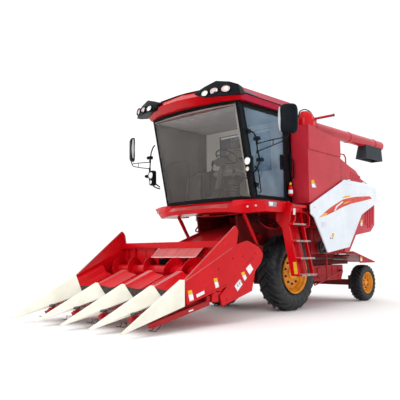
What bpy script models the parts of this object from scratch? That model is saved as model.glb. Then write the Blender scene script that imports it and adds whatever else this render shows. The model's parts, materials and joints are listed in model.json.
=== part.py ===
"""A self-propelled grain combine with a four-row maize header, at full size.

Metres, +Z up. The machine faces -Y, and its left side, with the ladder, is at +X.
Shapes are drawn from the front axle: y = 0 there and z = 0 on the ground. The empty
machine_datum then places that point in the object's frame, whose origin is on the
ground under the middle of the whole machine.
"""

import math

import bmesh
import bpy
from mathutils import Matrix, Vector

# Driving dimensions
FRONT_AXLE_Y = 0.412      # front axle from the middle of the overall length
WHEELBASE = 2.65
RAIL_LOW, RAIL_HIGH = 0.77, 0.85
FRONT_WHEEL = {"radius": 0.68, "width": 0.42, "centre_x": 0.79, "rim": 0.355, "disc_x": 0.885, "sides": 28}
REAR_WHEEL = {"radius": 0.38, "width": 0.27, "centre_x": 0.91, "rim": 0.215, "disc_x": 0.955, "sides": 24}
KINGPIN_X = 0.70
STEERING_ARM = 0.18
BODY_SIDE = 1.34          # outer face of the tank and upper side walls
TANK_FRONT, TANK_BACK = -0.05, 1.09
TANK_FLOOR, TANK_TOP_FRONT, TANK_TOP_BACK = 1.90, 3.30, 3.17
BODY_TOP = 1.90 - 0.0003   # top of the threshing body, under the tank and the cab
TAIL_Y = 2.50             # back face of the straw hood
CAB_HALF = 1.03
CAB_FLOOR, CAB_TOP = 1.90, 3.50
CAB_BACK = -0.12
DOOR_BACK = -0.32         # rear edge of the doorway, in front of a broad rear pillar
SCREEN_FOOT, SCREEN_HEAD = -1.24, -1.60
ROW_SPACING = 0.65
HEADER_HALF = 1.29        # outer face of the header's side panels
SNOUT_TIP_Y, SNOUT_BASE_Y = -4.20, -3.13
LIFT_PIVOT = (-0.42, 1.32)
AUGER_PIVOT = (1.05, 0.34)
AUGER_Z = 3.39
SIDE_DOOR_HINGE = (1.365, 2.42)
GAP = 0.0003              # between pieces that touch

for old in list(bpy.data.objects):
    bpy.data.objects.remove(old, do_unlink=True)

datum = bpy.data.objects.new("machine_datum", None)
datum.location = (0, FRONT_AXLE_Y, 0)
bpy.context.scene.collection.objects.link(datum)


def finish_of(name, colour, roughness, metallic=0.0, alpha=1.0):
    """A plain painted, rubber, glass or metal finish."""
    material = bpy.data.materials.new(name)
    material.use_nodes = True
    shader = material.node_tree.nodes["Principled BSDF"]
    shader.inputs["Base Color"].default_value = (*colour, 1)
    shader.inputs["Roughness"].default_value = roughness
    shader.inputs["Metallic"].default_value = metallic
    shader.inputs["Alpha"].default_value = alpha
    return material


RED = finish_of("red_paint", (0.55, 0.01, 0.02), 0.3)
DARK_RED = finish_of("dark_red_paint", (0.22, 0.01, 0.01), 0.45)
WHITE = finish_of("white_paint", (0.78, 0.80, 0.82), 0.3)
CREAM = finish_of("cream_plastic", (0.82, 0.79, 0.68), 0.45)
YELLOW = finish_of("yellow_rim_paint", (0.75, 0.30, 0.01), 0.4)
TYRE = finish_of("tyre_rubber", (0.02, 0.022, 0.024), 0.85)
BLACK = finish_of("black_plastic", (0.02, 0.02, 0.022), 0.45)
GLASS = finish_of("tinted_glass", (0.12, 0.13, 0.13), 0.08, 0.0, 0.35)
STEEL = finish_of("bare_steel", (0.55, 0.55, 0.54), 0.35, 0.9)
GREY = finish_of("grey_casting", (0.16, 0.16, 0.16), 0.6, 0.3)
CLOTH = finish_of("seat_cloth", (0.05, 0.05, 0.055), 0.9)


# Building blocks

def placed(name, bm, material, pivot=(0, 0, 0)):
    """Turns a bmesh drawn in axle coordinates into an object with its origin at pivot."""
    bm.normal_update()
    bmesh.ops.recalc_face_normals(bm, faces=bm.faces)
    mesh = bpy.data.meshes.new(name)
    bm.to_mesh(mesh)
    bm.free()
    mesh.transform(Matrix.Translation(-Vector(pivot)))
    mesh.materials.append(material)
    obj = bpy.data.objects.new(name, mesh)
    bpy.context.scene.collection.objects.link(obj)
    obj.parent = datum
    obj.location = pivot
    return obj


def between(axis, flat, along):
    """A point with flat's two coordinates across an axis and along on it."""
    a, b = flat
    return {"X": (along, a, b), "Y": (a, along, b), "Z": (a, b, along)}[axis]


def prism(name, axis, outline, low, high, material, pivot=(0, 0, 0)):
    """An outline across an axis, extruded from low to high along it."""
    bm = bmesh.new()
    face = bm.faces.new([bm.verts.new(between(axis, point, low)) for point in outline])
    made = bmesh.ops.extrude_face_region(bm, geom=[face])
    moved = [v for v in made["geom"] if isinstance(v, bmesh.types.BMVert)]
    bmesh.ops.translate(bm, verts=moved, vec=between(axis, (0, 0), high - low))
    return placed(name, bm, material, pivot)


def box(name, low, high, material, pivot=(0, 0, 0)):
    corners = [(low[0], low[1]), (high[0], low[1]), (high[0], high[1]), (low[0], high[1])]
    return prism(name, "Z", corners, low[2], high[2], material, pivot)


def loft(name, sections, material, pivot=(0, 0, 0)):
    """A solid through closed sections with the same number of points."""
    bm = bmesh.new()
    rings = [[bm.verts.new(point) for point in section] for section in sections]
    for ring, following in zip(rings, rings[1:]):
        count = len(ring)
        for i in range(count):
            j = (i + 1) % count
            bm.faces.new((ring[i], ring[j], following[j], following[i]))
    bm.faces.new(rings[0])
    bm.faces.new(rings[-1])
    bmesh.ops.triangulate(bm, faces=bm.faces)
    return placed(name, bm, material, pivot)


def rod(name, start, end, radius, material, sides=12, pivot=(0, 0, 0)):
    """A round bar between two points."""
    start, end = Vector(start), Vector(end)
    bm = bmesh.new()
    bmesh.ops.create_cone(
        bm, cap_ends=True, segments=sides, radius1=radius, radius2=radius, depth=(end - start).length
    )
    turn = (end - start).to_track_quat("Z", "Y").to_matrix().to_4x4()
    bm.transform(Matrix.Translation((start + end) / 2) @ turn)
    return placed(name, bm, material, pivot)


def pipe(name, points, radius, material, resolution=1, pivot=(0, 0, 0)):
    """A bent tube through points: a bevelled curve with filled caps, made a mesh."""
    curve = bpy.data.curves.new(name, "CURVE")
    curve.dimensions = "3D"
    curve.bevel_depth = radius
    curve.bevel_resolution = resolution
    curve.use_fill_caps = True
    spline = curve.splines.new("POLY")
    spline.points.add(len(points) - 1)
    for place, point in zip(spline.points, points):
        place.co = (*point, 1)
    guide = bpy.data.objects.new(name + "_guide", curve)
    bpy.context.scene.collection.objects.link(guide)
    bpy.context.view_layer.update()
    swept = guide.evaluated_get(bpy.context.evaluated_depsgraph_get()).to_mesh()
    bm = bmesh.new()
    bm.from_mesh(swept)
    bpy.data.objects.remove(guide, do_unlink=True)
    bmesh.ops.remove_doubles(bm, verts=bm.verts, dist=1e-5)
    return placed(name, bm, material, pivot)


def turned(name, profile, axis, centre, steps, material, phase=0.0, closed=True, pivot=None):
    """A profile of (radius, distance along the axis), turned about an axis through centre."""
    bm = bmesh.new()
    points = [bm.verts.new((r * math.cos(phase), r * math.sin(phase), a)) for r, a in profile]
    pairs = list(zip(points, points[1:]))
    if closed:
        pairs.append((points[-1], points[0]))
    edges = [bm.edges.new(pair) for pair in pairs]
    bmesh.ops.spin(
        bm, geom=points + edges, cent=(0, 0, 0), axis=(0, 0, 1), angle=2 * math.pi, steps=steps, use_merge=True
    )
    bmesh.ops.remove_doubles(bm, verts=bm.verts, dist=1e-5)
    turn = {
        "X": Matrix(((0, 0, 1), (0, 1, 0), (-1, 0, 0))),
        "Y": Matrix(((1, 0, 0), (0, 0, 1), (0, -1, 0))),
        "Z": Matrix.Identity(3),
    }[axis].to_4x4()
    bm.transform(Matrix.Translation(centre) @ turn)
    return placed(name, bm, material, centre if pivot is None else pivot)


def settle(obj):
    """Makes what an object's modifiers give its own mesh."""
    bpy.context.view_layer.update()
    made = bpy.data.meshes.new_from_object(obj.evaluated_get(bpy.context.evaluated_depsgraph_get()))
    obj.modifiers.clear()
    obj.data = made


def combine(base, others, operation):
    for other in others:
        modifier = base.modifiers.new(operation.lower(), "BOOLEAN")
        modifier.operation = operation
        modifier.solver = "EXACT"
        modifier.object = other
    settle(base)
    for other in others:
        bpy.data.objects.remove(other, do_unlink=True)
    return base


def join(base, *others):
    return combine(base, others, "UNION")


def cut(base, *others):
    return combine(base, others, "DIFFERENCE")


def mirrored(obj, name):
    """A copy on the other side of the machine's middle."""
    bm = bmesh.new()
    bm.from_mesh(obj.data)
    bm.transform(Matrix.Translation(obj.location))
    bm.transform(Matrix.Scale(-1, 4, (1, 0, 0)))
    x, y, z = obj.location
    return placed(name, bm, obj.data.materials[0], (-x, y, z))


def arc(centre, radius, start, end, steps):
    """Points on a flat arc, its angles in degrees."""
    return [
        (
            centre[0] + radius * math.cos(math.radians(start + (end - start) * i / steps)),
            centre[1] + radius * math.sin(math.radians(start + (end - start) * i / steps)),
        )
        for i in range(steps + 1)
    ]


def on_line(start, end, share):
    return tuple(a + (b - a) * share for a, b in zip(start, end))


# Wheels, axles and steering

def wheel(place, size, y):
    """Tyre and rim of one left wheel, and their copies on the right."""
    radius, half, rim = size["radius"], size["width"] / 2, size["rim"]
    centre = (size["centre_x"], y, radius * math.cos(math.pi / size["sides"]))
    tread = half * 0.86
    profile = [
        (rim, -half * 0.86), (rim + 0.45 * (radius - rim), -half), (radius * 0.965, -half * 0.97), (radius, -tread),
        (radius, tread), (radius * 0.965, half * 0.97), (rim + 0.45 * (radius - rim), half), (rim, half * 0.86),
    ]
    half_step = math.pi / size["sides"]
    tyre = turned(f"{place}_tyre_left", profile, "X", centre, size["sides"], TYRE, half_step)
    disc = size["disc_x"] - size["centre_x"]
    barrel, lip, wall = rim - GAP, rim + 0.018, 0.025
    edge = half * (0.86 + 0.14 * 0.018 / (0.45 * (radius - rim))) + 2 * GAP
    rim_profile = [
        (0, disc - 0.015), (barrel - wall, disc - 0.015), (barrel - wall, -edge - 0.012), (lip, -edge - 0.012),
        (lip, -edge), (barrel, -edge), (barrel, edge), (lip, edge), (lip, edge + 0.012),
        (barrel - wall, edge + 0.012), (barrel - wall, disc + 0.012), (rim * 0.42, disc + 0.012),
        (rim * 0.36, disc + 0.05), (0, disc + 0.05),
    ]
    wheel_rim = turned(f"{place}_rim_left", rim_profile, "X", centre, size["sides"], YELLOW, half_step, closed=False)
    mirrored(tyre, f"{place}_tyre_right")
    mirrored(wheel_rim, f"{place}_rim_right")
    return centre


def front_axle(hub_z):
    beam = rod("front_axle", (-0.5, 0, hub_z), (0.5, 0, hub_z), 0.085, DARK_RED)
    gearbox = box("gearbox", (-0.19, -0.17, hub_z - 0.16), (0.19, 0.16, hub_z + 0.14), DARK_RED)
    pieces = [gearbox]
    for side in (-1, 1):
        inner, outer = sorted((side * 0.43, side * 0.545))
        pieces.append(box("final_drive", (inner, -0.15, hub_z - 0.15), (outer, 0.15, RAIL_LOW - GAP), DARK_RED))
        pieces.append(rod("hub", (side * 0.53, 0, hub_z), (side * 0.864, 0, hub_z), 0.12, DARK_RED, 16))
        x = side * 0.30
        lug = box("cylinder_lug", (x - 0.045, -0.28, 0.46), (x + 0.045, 0.03, 0.65), DARK_RED)
        slot = box("lug_slot", (x - 0.030, -0.40, 0.40), (x + 0.030, -0.19, 0.70), DARK_RED)
        pieces.append(cut(lug, slot))
    return join(beam, *pieces)


def rear_axle(hub_z):
    y = WHEELBASE
    beam = box("rear_axle", (-0.62, y - 0.06, hub_z - 0.06), (0.62, y + 0.06, hub_z + 0.06), RED)
    pieces = [box("centre_stand", (-0.14, y - 0.09, hub_z), (0.14, y + 0.09, RAIL_LOW - GAP), RED)]
    for side in (-1, 1):
        web = sorted((side * 0.595, side * 0.635))
        lug = sorted((side * 0.60, side * 0.742))
        pieces.append(box("fork_web", (web[0], y - 0.05, hub_z - 0.145), (web[1], y + 0.05, hub_z + 0.145), RED))
        for low in (hub_z - 0.145, hub_z + 0.105):
            pieces.append(box("fork_lug", (lug[0], y - 0.045, low), (lug[1], y + 0.045, low + 0.04), RED))
    return join(beam, *pieces)


def steering(hub_z):
    y = WHEELBASE
    pivot = (KINGPIN_X, y, hub_z)
    knuckle = rod("knuckle_left", (KINGPIN_X, y, hub_z - 0.099), (KINGPIN_X, y, hub_z + 0.099), 0.045, GREY, 12, pivot)
    spindle = rod("spindle", (KINGPIN_X, y, hub_z), (REAR_WHEEL["disc_x"] - 0.0205, y, hub_z), 0.04, GREY)
    arm = box("steering_arm", (KINGPIN_X - 0.022, y, hub_z - 0.02), (KINGPIN_X + 0.022, y + STEERING_ARM + 0.025, hub_z + 0.01), GREY)
    join(knuckle, spindle, arm)
    mirrored(knuckle, "knuckle_right")
    rod_y, rod_z = y + STEERING_ARM, hub_z - 0.052
    rod("tie_rod", (-KINGPIN_X - 0.02, rod_y, rod_z), (KINGPIN_X + 0.02, rod_y, rod_z), 0.02, STEEL, 8, (KINGPIN_X, rod_y, rod_z))


# Frame and threshing body

def chassis():
    back = WHEELBASE + 0.10
    frame = box("chassis_frame", (-0.52, back - 0.22, RAIL_LOW), (0.52, back, RAIL_HIGH), DARK_RED)
    pieces = []
    for side in (-1, 1):
        inner, outer = sorted((side * 0.44, side * 0.52))
        pieces.append(box("rail", (inner, -0.60, RAIL_LOW), (outer, back - 0.02, RAIL_HIGH), DARK_RED))
        # A cheek beside the feeder's upper end carries its pivot.
        cheek = [(-1.02, 1.72), (-0.98, 1.42), (-0.90, 1.00), (-0.58, 0.80), (-0.10, 0.80), (-0.10, 1.72)]
        low, high = sorted((side * 0.445, side * 0.475))
        plate = prism("cheek", "X", cheek, low, high, DARK_RED)
        hole = rod("pivot_hole", (side * 0.40, *LIFT_PIVOT), (side * 0.60, *LIFT_PIVOT), 0.065, DARK_RED)
        pieces.append(cut(plate, hole))
        # An outrigger and a strut hold the front of the cab platform.
        low, high = sorted((side * 0.46, side * 0.83))
        pieces.append(box("outrigger", (low, -0.86, 1.06), (high, -0.74, 1.16), DARK_RED))
        pieces.append(rod("strut", (side * 0.77, -0.80, 1.11), (side * 0.77, -1.130, 1.635), 0.028, RED, 10))
    pieces.append(box("front_crossbar", (-0.52, -0.45, RAIL_LOW), (0.52, -0.35, RAIL_HIGH), DARK_RED))
    return join(frame, *pieces)


def threshing_body():
    middle_profile = [
        (-0.09, 1.00), (0.30, 1.00), (0.42, 0.50), (2.00, 0.50), (2.30, 0.86), (2.34, BODY_TOP), (-0.09, BODY_TOP),
    ]
    body = prism("threshing_body", "X", middle_profile, -0.43, 0.43, DARK_RED)
    deck = box("deck", (-0.97, -0.09, 1.50), (0.97, 0.80, BODY_TOP), DARK_RED)
    upper = box("upper_housing", (-0.80, 0.76, 0.99), (0.80, 2.30, BODY_TOP), DARK_RED)
    shoe_top = RAIL_LOW - 0.003
    lower_profile = [(0.80, 0.47), (1.95, 0.47), (2.02, 0.62), (2.02, shoe_top), (0.80, shoe_top)]
    shoe = prism("cleaning_shoe", "X", lower_profile, -0.80, 0.80, DARK_RED)
    # A light tube frame guards the shoe on each side.
    frames = []
    for side in (-1, 1):
        rail = [(side * 0.79, 1.92, 0.66), (side * 0.93, 1.77, 0.64), (side * 0.93, 0.72, 0.41), (side * 0.79, 0.86, 0.50)]
        post = [(side * 0.70, 1.17, 0.98), (side * 0.93, 1.17, 0.98), (side * 0.93, 1.17, 0.51)]
        frames += [pipe("guard_rail", rail, 0.018, DARK_RED), pipe("guard_post", post, 0.016, DARK_RED)]
    shelf = box("cab_shelf", (-0.62, -1.00, 1.74), (0.62, -0.05, BODY_TOP), DARK_RED)
    return join(body, deck, upper, shoe, shelf, *frames)


def belt_drive():
    """Pulleys and belts on the left of the body, behind the front wheel."""
    plate = box("belt_drive", (0.80 + GAP, 0.80, 1.00), (0.815, 2.02, 1.80), GREY)
    pieces = []
    for y, z, radius in ((1.05, 1.60, 0.17), (1.62, 1.36, 0.24), (1.10, 1.12, 0.12), (1.98, 1.68, 0.13)):
        pieces.append(rod("shaft", (0.805, y, z), (0.93, y, z), 0.035, GREY, 8))
        pieces.append(rod("pulley", (0.85, y, z), (0.91, y, z), radius, GREY, 18))
    return join(plate, *pieces)


# Grain tank, engine and rear housings

def grain_tank():
    wall = 0.03
    side = [
        (TANK_FRONT, TANK_FLOOR), (TANK_BACK, TANK_FLOOR), (TANK_BACK, TANK_TOP_BACK), (TANK_FRONT, TANK_TOP_FRONT),
    ]
    tank = prism("grain_tank", "X", side, -BODY_SIDE, BODY_SIDE, RED)
    low_y, high_y = TANK_FRONT + wall, TANK_BACK - wall
    levels = ((1.94, 0.55, 0.22), (2.35, BODY_SIDE - wall, 0.0), (3.50, BODY_SIDE - wall, 0.0))
    hollow = loft(
        "tank_hollow",
        [
            [(-x, low_y + inset, z), (x, low_y + inset, z), (x, high_y - inset, z), (-x, high_y - inset, z)]
            for z, x, inset in levels
        ],
        RED,
    )
    cut(tank, hollow)
    riser = rod("riser", (*AUGER_PIVOT, 2.0), (*AUGER_PIVOT, 3.205 - GAP), 0.14, RED, 16)
    board = [(TANK_FRONT, 2.86), (TANK_BACK - 0.02, 2.84), (TANK_BACK - 0.02, TANK_TOP_BACK), (TANK_FRONT, TANK_TOP_FRONT)]
    name_board = prism("board", "X", board, BODY_SIDE - 0.01, BODY_SIDE + 0.02, RED)
    cross_auger = rod("levelling_auger", (-BODY_SIDE + 0.02, 0.52, 2.95), (BODY_SIDE - 0.02, 0.52, 2.95), 0.06, RED, 10)
    return join(tank, riser, name_board, cross_auger)


def engine():
    box("engine_block", (-0.50, 1.30, 1.905), (0.50, 2.05, 2.40), GREY)
    outline = [(TANK_BACK + 0.01, 2.83), (1.44, 2.72), (1.73, 2.64), (1.94, 2.49), (2.46, 2.36), (2.50, 2.02), (TANK_BACK + 0.01, 2.02)]
    inside = [(1.00, 2.795), (1.43, 2.685), (1.715, 2.605), (1.925, 2.455), (2.43, 2.33), (2.465, 1.90), (1.00, 1.90)]
    hood = prism("engine_hood", "X", outline, -1.32, 1.32, RED)
    cut(hood, prism("hood_hollow", "X", inside, -1.29, 1.29, RED))
    rail = [(1.16, 2.76), (1.16, 2.93), (1.36, 2.93), (1.42, 2.88), (1.42, 2.70)]
    pieces = [pipe("rail", [(side * 1.27, *point) for point in rail], 0.016, RED) for side in (-1, 1)]
    return join(hood, *pieces)


def straw_hood():
    """The rear housing, open below and in front, with side plates that run down behind the side doors."""
    side = [
        (1.16, 1.04), (1.36, 1.02), (1.66, 1.36), (2.28, 1.44), (2.46, 1.58), (TAIL_Y, 2.02 - GAP), (1.55, 2.02 - GAP), (1.55, 1.60),
    ]
    hood = prism("straw_hood", "X", side, -1.32, 1.32, RED)
    hollow = [(0.90, 0.80), (2.30, 0.80), (2.43, 1.57), (2.465, 2.10), (0.90, 2.10)]
    cut(hood, prism("straw_hollow", "X", hollow, -1.29, 1.29, RED))
    # A cross plate holds the two sides and bolts to the threshing body.
    bridge = box("bridge", (-1.30, 2.345, 1.55), (1.30, 2.375, 1.86), RED)
    return join(hood, bridge)


def tail_deflector():
    slope = [(2.05, 1.02), (2.08, 1.00), (3.04, 0.80), (3.04, 0.815), (2.09, 1.04)]
    plate = prism("tail_deflector", "X", slope, -1.02, 1.02, RED)
    cut(plate, box("body_room", (-0.81, 1.9, 0.7), (0.81, 2.352, 1.2), RED))
    skirt = [(2.36, 0.962), (3.035, 0.808), (3.035, 0.797), (2.36, 0.797)]
    skirts = [prism("skirt", "X", skirt, *sorted((side * 1.02, side * 1.005)), RED) for side in (-1, 1)]
    post = box("deflector_post", (-0.40, 2.347, 0.94), (0.40, 2.45, 1.28), RED)
    return join(plate, post, *skirts)


# Cab

def screen_bow(x):
    """How far the windscreen and the roof's edge stand forward of the corner pillars."""
    return 0.12 * (1 - (x / CAB_HALF) ** 2)


def screen_y(z, x=0.0):
    share = (z - CAB_FLOOR) / (CAB_TOP - CAB_FLOOR)
    return SCREEN_FOOT + (SCREEN_HEAD - SCREEN_FOOT) * share - screen_bow(x)


def bowed(low_z, high_z, half, inset_front, back, steps=6):
    """Two plan outlines that follow the bowed, raked front, at low_z and high_z."""
    xs = [half - 2 * half * i / steps for i in range(steps + 1)]
    return [
        [(-half, back, z), (half, back, z)] + [(x, screen_y(z, x) + inset_front, z) for x in xs]
        for z in (low_z, high_z)
    ]


def cab():
    frame = loft("cab_frame", bowed(CAB_FLOOR, CAB_TOP - GAP, CAB_HALF, 0.0, CAB_BACK), BLACK)
    room = loft("room", bowed(CAB_FLOOR + 0.05, CAB_TOP + 0.1, CAB_HALF - 0.06, 0.07, CAB_BACK - 0.05), BLACK)
    front = loft("front_opening", bowed(CAB_FLOOR + 0.06, CAB_TOP - 0.07, CAB_HALF - 0.075, -0.2, -0.9), BLACK)
    side_low, side_high = CAB_FLOOR + 0.05, CAB_TOP - 0.05
    side = [
        (screen_y(side_low, CAB_HALF) + 0.09, side_low), (DOOR_BACK, side_low),
        (DOOR_BACK, side_high), (screen_y(side_high, CAB_HALF) + 0.09, side_high),
    ]
    doorway = prism("doorway", "X", side, -1.2, 1.2, BLACK)
    back = box("back_window", (-0.62, -0.3, 2.55), (0.62, 0.1, 3.32), BLACK)
    cut(frame, room, front, doorway, back)

    rim = GAP * 2
    low, high = CAB_FLOOR + 0.06 + rim, CAB_TOP - 0.07 - rim
    screen = loft("windscreen", bowed(low, high, CAB_HALF - 0.075 - rim, 0.012, -0.9), GLASS)
    behind = loft("behind_screen", bowed(low - 0.1, high + 0.1, CAB_HALF, 0.020, -0.8), GLASS)
    cut(screen, behind)

    inset = 0.008
    glass = [
        (screen_y(side_low, CAB_HALF) + 0.09 + inset, side_low + inset), (DOOR_BACK - inset, side_low + inset),
        (DOOR_BACK - inset, side_high - inset), (screen_y(side_high, CAB_HALF) + 0.09 + inset, side_high - inset),
    ]
    prism("right_window", "X", glass, -CAB_HALF + 0.012, -CAB_HALF + 0.020, GLASS)
    box("rear_window", (-0.62 + rim, CAB_BACK - 0.03, 2.55 + rim), (0.62 - rim, CAB_BACK - 0.022, 3.32 - rim), GLASS)

    # The door swings about its raked front edge.
    hinge = (CAB_HALF + 0.007, glass[0][0], glass[0][1])
    door = prism("cab_door", "X", glass, CAB_HALF - 0.035, CAB_HALF + 0.005, BLACK, hinge)
    rims = 0.07
    window = [
        (glass[0][0] + rims * 0.9, glass[0][1] + rims), (glass[1][0] - rims, glass[1][1] + rims),
        (glass[2][0] - rims, glass[2][1] - rims), (glass[3][0] + rims * 1.1, glass[3][1] - rims),
    ]
    cut(door, prism("door_window", "X", window, CAB_HALF - 0.2, CAB_HALF + 0.2, BLACK))
    handle = box("handle", (CAB_HALF, glass[1][0] - 0.06, 2.35), (CAB_HALF + 0.045, glass[1][0] - 0.03, 2.60), BLACK)
    join(door, handle)
    shrunk = [(y + rim * (1 if i in (0, 3) else -1), z + rim * (1 if i < 2 else -1)) for i, (y, z) in enumerate(window)]
    prism("cab_door_glass", "X", shrunk, CAB_HALF - 0.022, CAB_HALF - 0.014, GLASS, hinge)


def cab_roof():
    low = [(-1.06, -0.06), (1.06, -0.06), (1.10, -1.58), (0.72, -1.78), (0.0, -1.86), (-0.72, -1.78), (-1.10, -1.58)]
    middle = [(-1.10, -0.04), (1.10, -0.04), (1.14, -1.66), (0.74, -1.92), (0.0, -2.00), (-0.74, -1.92), (-1.14, -1.66)]
    top = [(-1.02, -0.08), (1.02, -0.08), (1.02, -1.55), (0.66, -1.76), (0.0, -1.84), (-0.66, -1.76), (-1.02, -1.55)]
    levels = ((low, CAB_TOP), (middle, 3.60), (top, 3.74))
    return loft("cab_roof", [[(x, y, z) for x, y in outline] for outline, z in levels], RED)


def roof_light():
    """The black lamp pod that rises over the roof's left front corner, and its copy."""
    low = [
        (0.44, -2.00, 3.615), (0.66, -2.03, 3.515), (0.90, -2.02, 3.50), (1.10, -1.93, 3.495), (1.22, -1.72, 3.53),
        (1.20, -1.42, 3.56), (0.90, -1.45, 3.56), (0.50, -1.74, 3.60),
    ]
    high = [
        (0.42, -1.985, 3.655), (0.62, -1.96, 3.73), (0.82, -1.905, 3.80), (1.05, -1.84, 3.752), (1.17, -1.68, 3.71),
        (1.14, -1.42, 3.70), (0.86, -1.50, 3.772), (0.50, -1.78, 3.70),
    ]
    pod = loft("roof_light_left", [low, high], BLACK)
    roof = cab_roof()
    grown = roof.copy()
    grown.data = roof.data.copy()
    bpy.context.scene.collection.objects.link(grown)
    grown.data.transform(Matrix.Translation((0, 0, 3.6)) @ Matrix.Scale(1.0006, 4) @ Matrix.Translation((0, 0, -3.6)))
    cut(pod, grown)
    mirrored(pod, "roof_light_right")


def fairing():
    top = [
        (1.26, -0.62), (1.26, -1.16), (0.92, -1.42), (0.45, -1.53), (-0.45, -1.53), (-0.92, -1.42), (-1.26, -1.16),
        (-1.26, -0.62), (-1.06, -0.62), (-1.06, -1.04), (1.06, -1.04), (1.06, -0.62),
    ]
    bottom = [
        (1.18, -0.62), (1.18, -0.98), (0.86, -1.32), (0.42, -1.42), (-0.42, -1.42), (-0.86, -1.32), (-1.18, -0.98),
        (-1.18, -0.62), (-1.06, -0.62), (-1.06, -1.04), (1.06, -1.04), (1.06, -0.62),
    ]
    waist = [(x * 1.012, y * 1.012 if y < -1.1 else y) for x, y in top]
    levels = ((bottom, 1.665), (waist, 1.79), (top, CAB_FLOOR - GAP))
    return loft("front_fairing", [[(x, y, z) for x, y in outline] for outline, z in levels], RED)


def cab_inside():
    floor = CAB_FLOOR + 0.05 + GAP
    seat = box("driver_seat", (-0.26, -0.80, 2.30), (0.26, -0.30, 2.42), CLOTH)
    back_profile = [(-0.42, 2.38), (-0.31, 2.38), (-0.22, 3.02), (-0.32, 3.02)]
    back = prism("seat_back", "X", back_profile, -0.25, 0.25, CLOTH)
    base = box("seat_base", (-0.18, -0.70, floor), (0.18, -0.38, 2.32), CLOTH)
    join(seat, back, base)
    column = rod("steering_column", (0, -1.04, floor + 0.02), (0, -0.92, 2.62), 0.05, BLACK, 10)
    foot = box("column_foot", (-0.14, -1.12, floor), (0.14, -0.96, 2.20), BLACK)
    hub = Vector((0, -0.92, 2.64))
    tilt = Matrix.Translation(hub) @ Matrix.Rotation(math.radians(-30), 4, "X")
    wheel_rim = turned("rim", [(0.205, 0.013), (0.190, 0.0), (0.205, -0.013), (0.220, 0.0)], "Z", (0, 0, 0), 18, BLACK)
    wheel_rim.data.transform(tilt)
    spokes = [rod("hub", tilt @ Vector((0, 0, -0.05)), tilt @ Vector((0, 0, 0.015)), 0.045, BLACK, 12)]
    for turn in (90, 210, 330):
        angle = math.radians(turn)
        end = tilt @ Vector((0.20 * math.cos(angle), 0.20 * math.sin(angle), 0))
        start = tilt @ Vector((0.02 * math.cos(angle), 0.02 * math.sin(angle), -0.02))
        spokes.append(rod("spoke", start, end, 0.012, BLACK, 6))
    join(column, foot, wheel_rim, *spokes)
    console_profile = [(-1.00, floor), (-0.20, floor), (-0.20, 2.46), (-0.62, 2.50), (-0.78, 2.62), (-0.98, 2.62)]
    console = prism("side_console", "X", console_profile, -0.78, -0.42, BLACK)
    lever = rod("lever", (-0.56, -0.70, 2.50), (-0.56, -0.74, 2.78), 0.018, BLACK, 8)
    join(console, lever)


def mirror():
    """A bent bracket on the front pillar with a long arm, the mirror head and a work lamp."""
    bracket = [
        (CAB_HALF + 0.003, -1.55, 3.02), (1.16, -1.50, 2.98), (1.28, -1.46, 2.86), (1.31, -1.44, 2.62), (1.28, -1.44, 2.46),
        (1.16, -1.46, 2.30), (CAB_HALF + 0.003, -1.42, 2.22),
    ]
    arm = pipe("mirror_left", bracket, 0.014, BLACK)
    pieces = []
    for low, high in ((2.74, 2.84), (2.58, 2.74)):
        pieces.append(pipe("arm", [(1.30, -1.45, low), (1.86, -1.48, high)], 0.010, BLACK))
    pieces.append(pipe("upright", [(1.86, -1.48, 2.70), (1.86, -1.48, 3.12)], 0.012, BLACK))
    shell = [(1.74, -1.48), (1.79, -1.42), (1.94, -1.38), (1.985, -1.42), (1.95, -1.45), (1.80, -1.50)]
    pieces.append(loft("head", [[(x, y, z) for x, y in shell] for z in (2.84, 3.34)], BLACK))
    lamp_at = (1.15, -1.50, 2.43)
    pieces.append(rod("lamp", (1.15, -1.56, 2.43), (1.15, -1.43, 2.43), 0.085, BLACK, 12))
    join(arm, *pieces)
    mirrored(arm, "mirror_right")
    return lamp_at


# Ladder and platform

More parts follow.
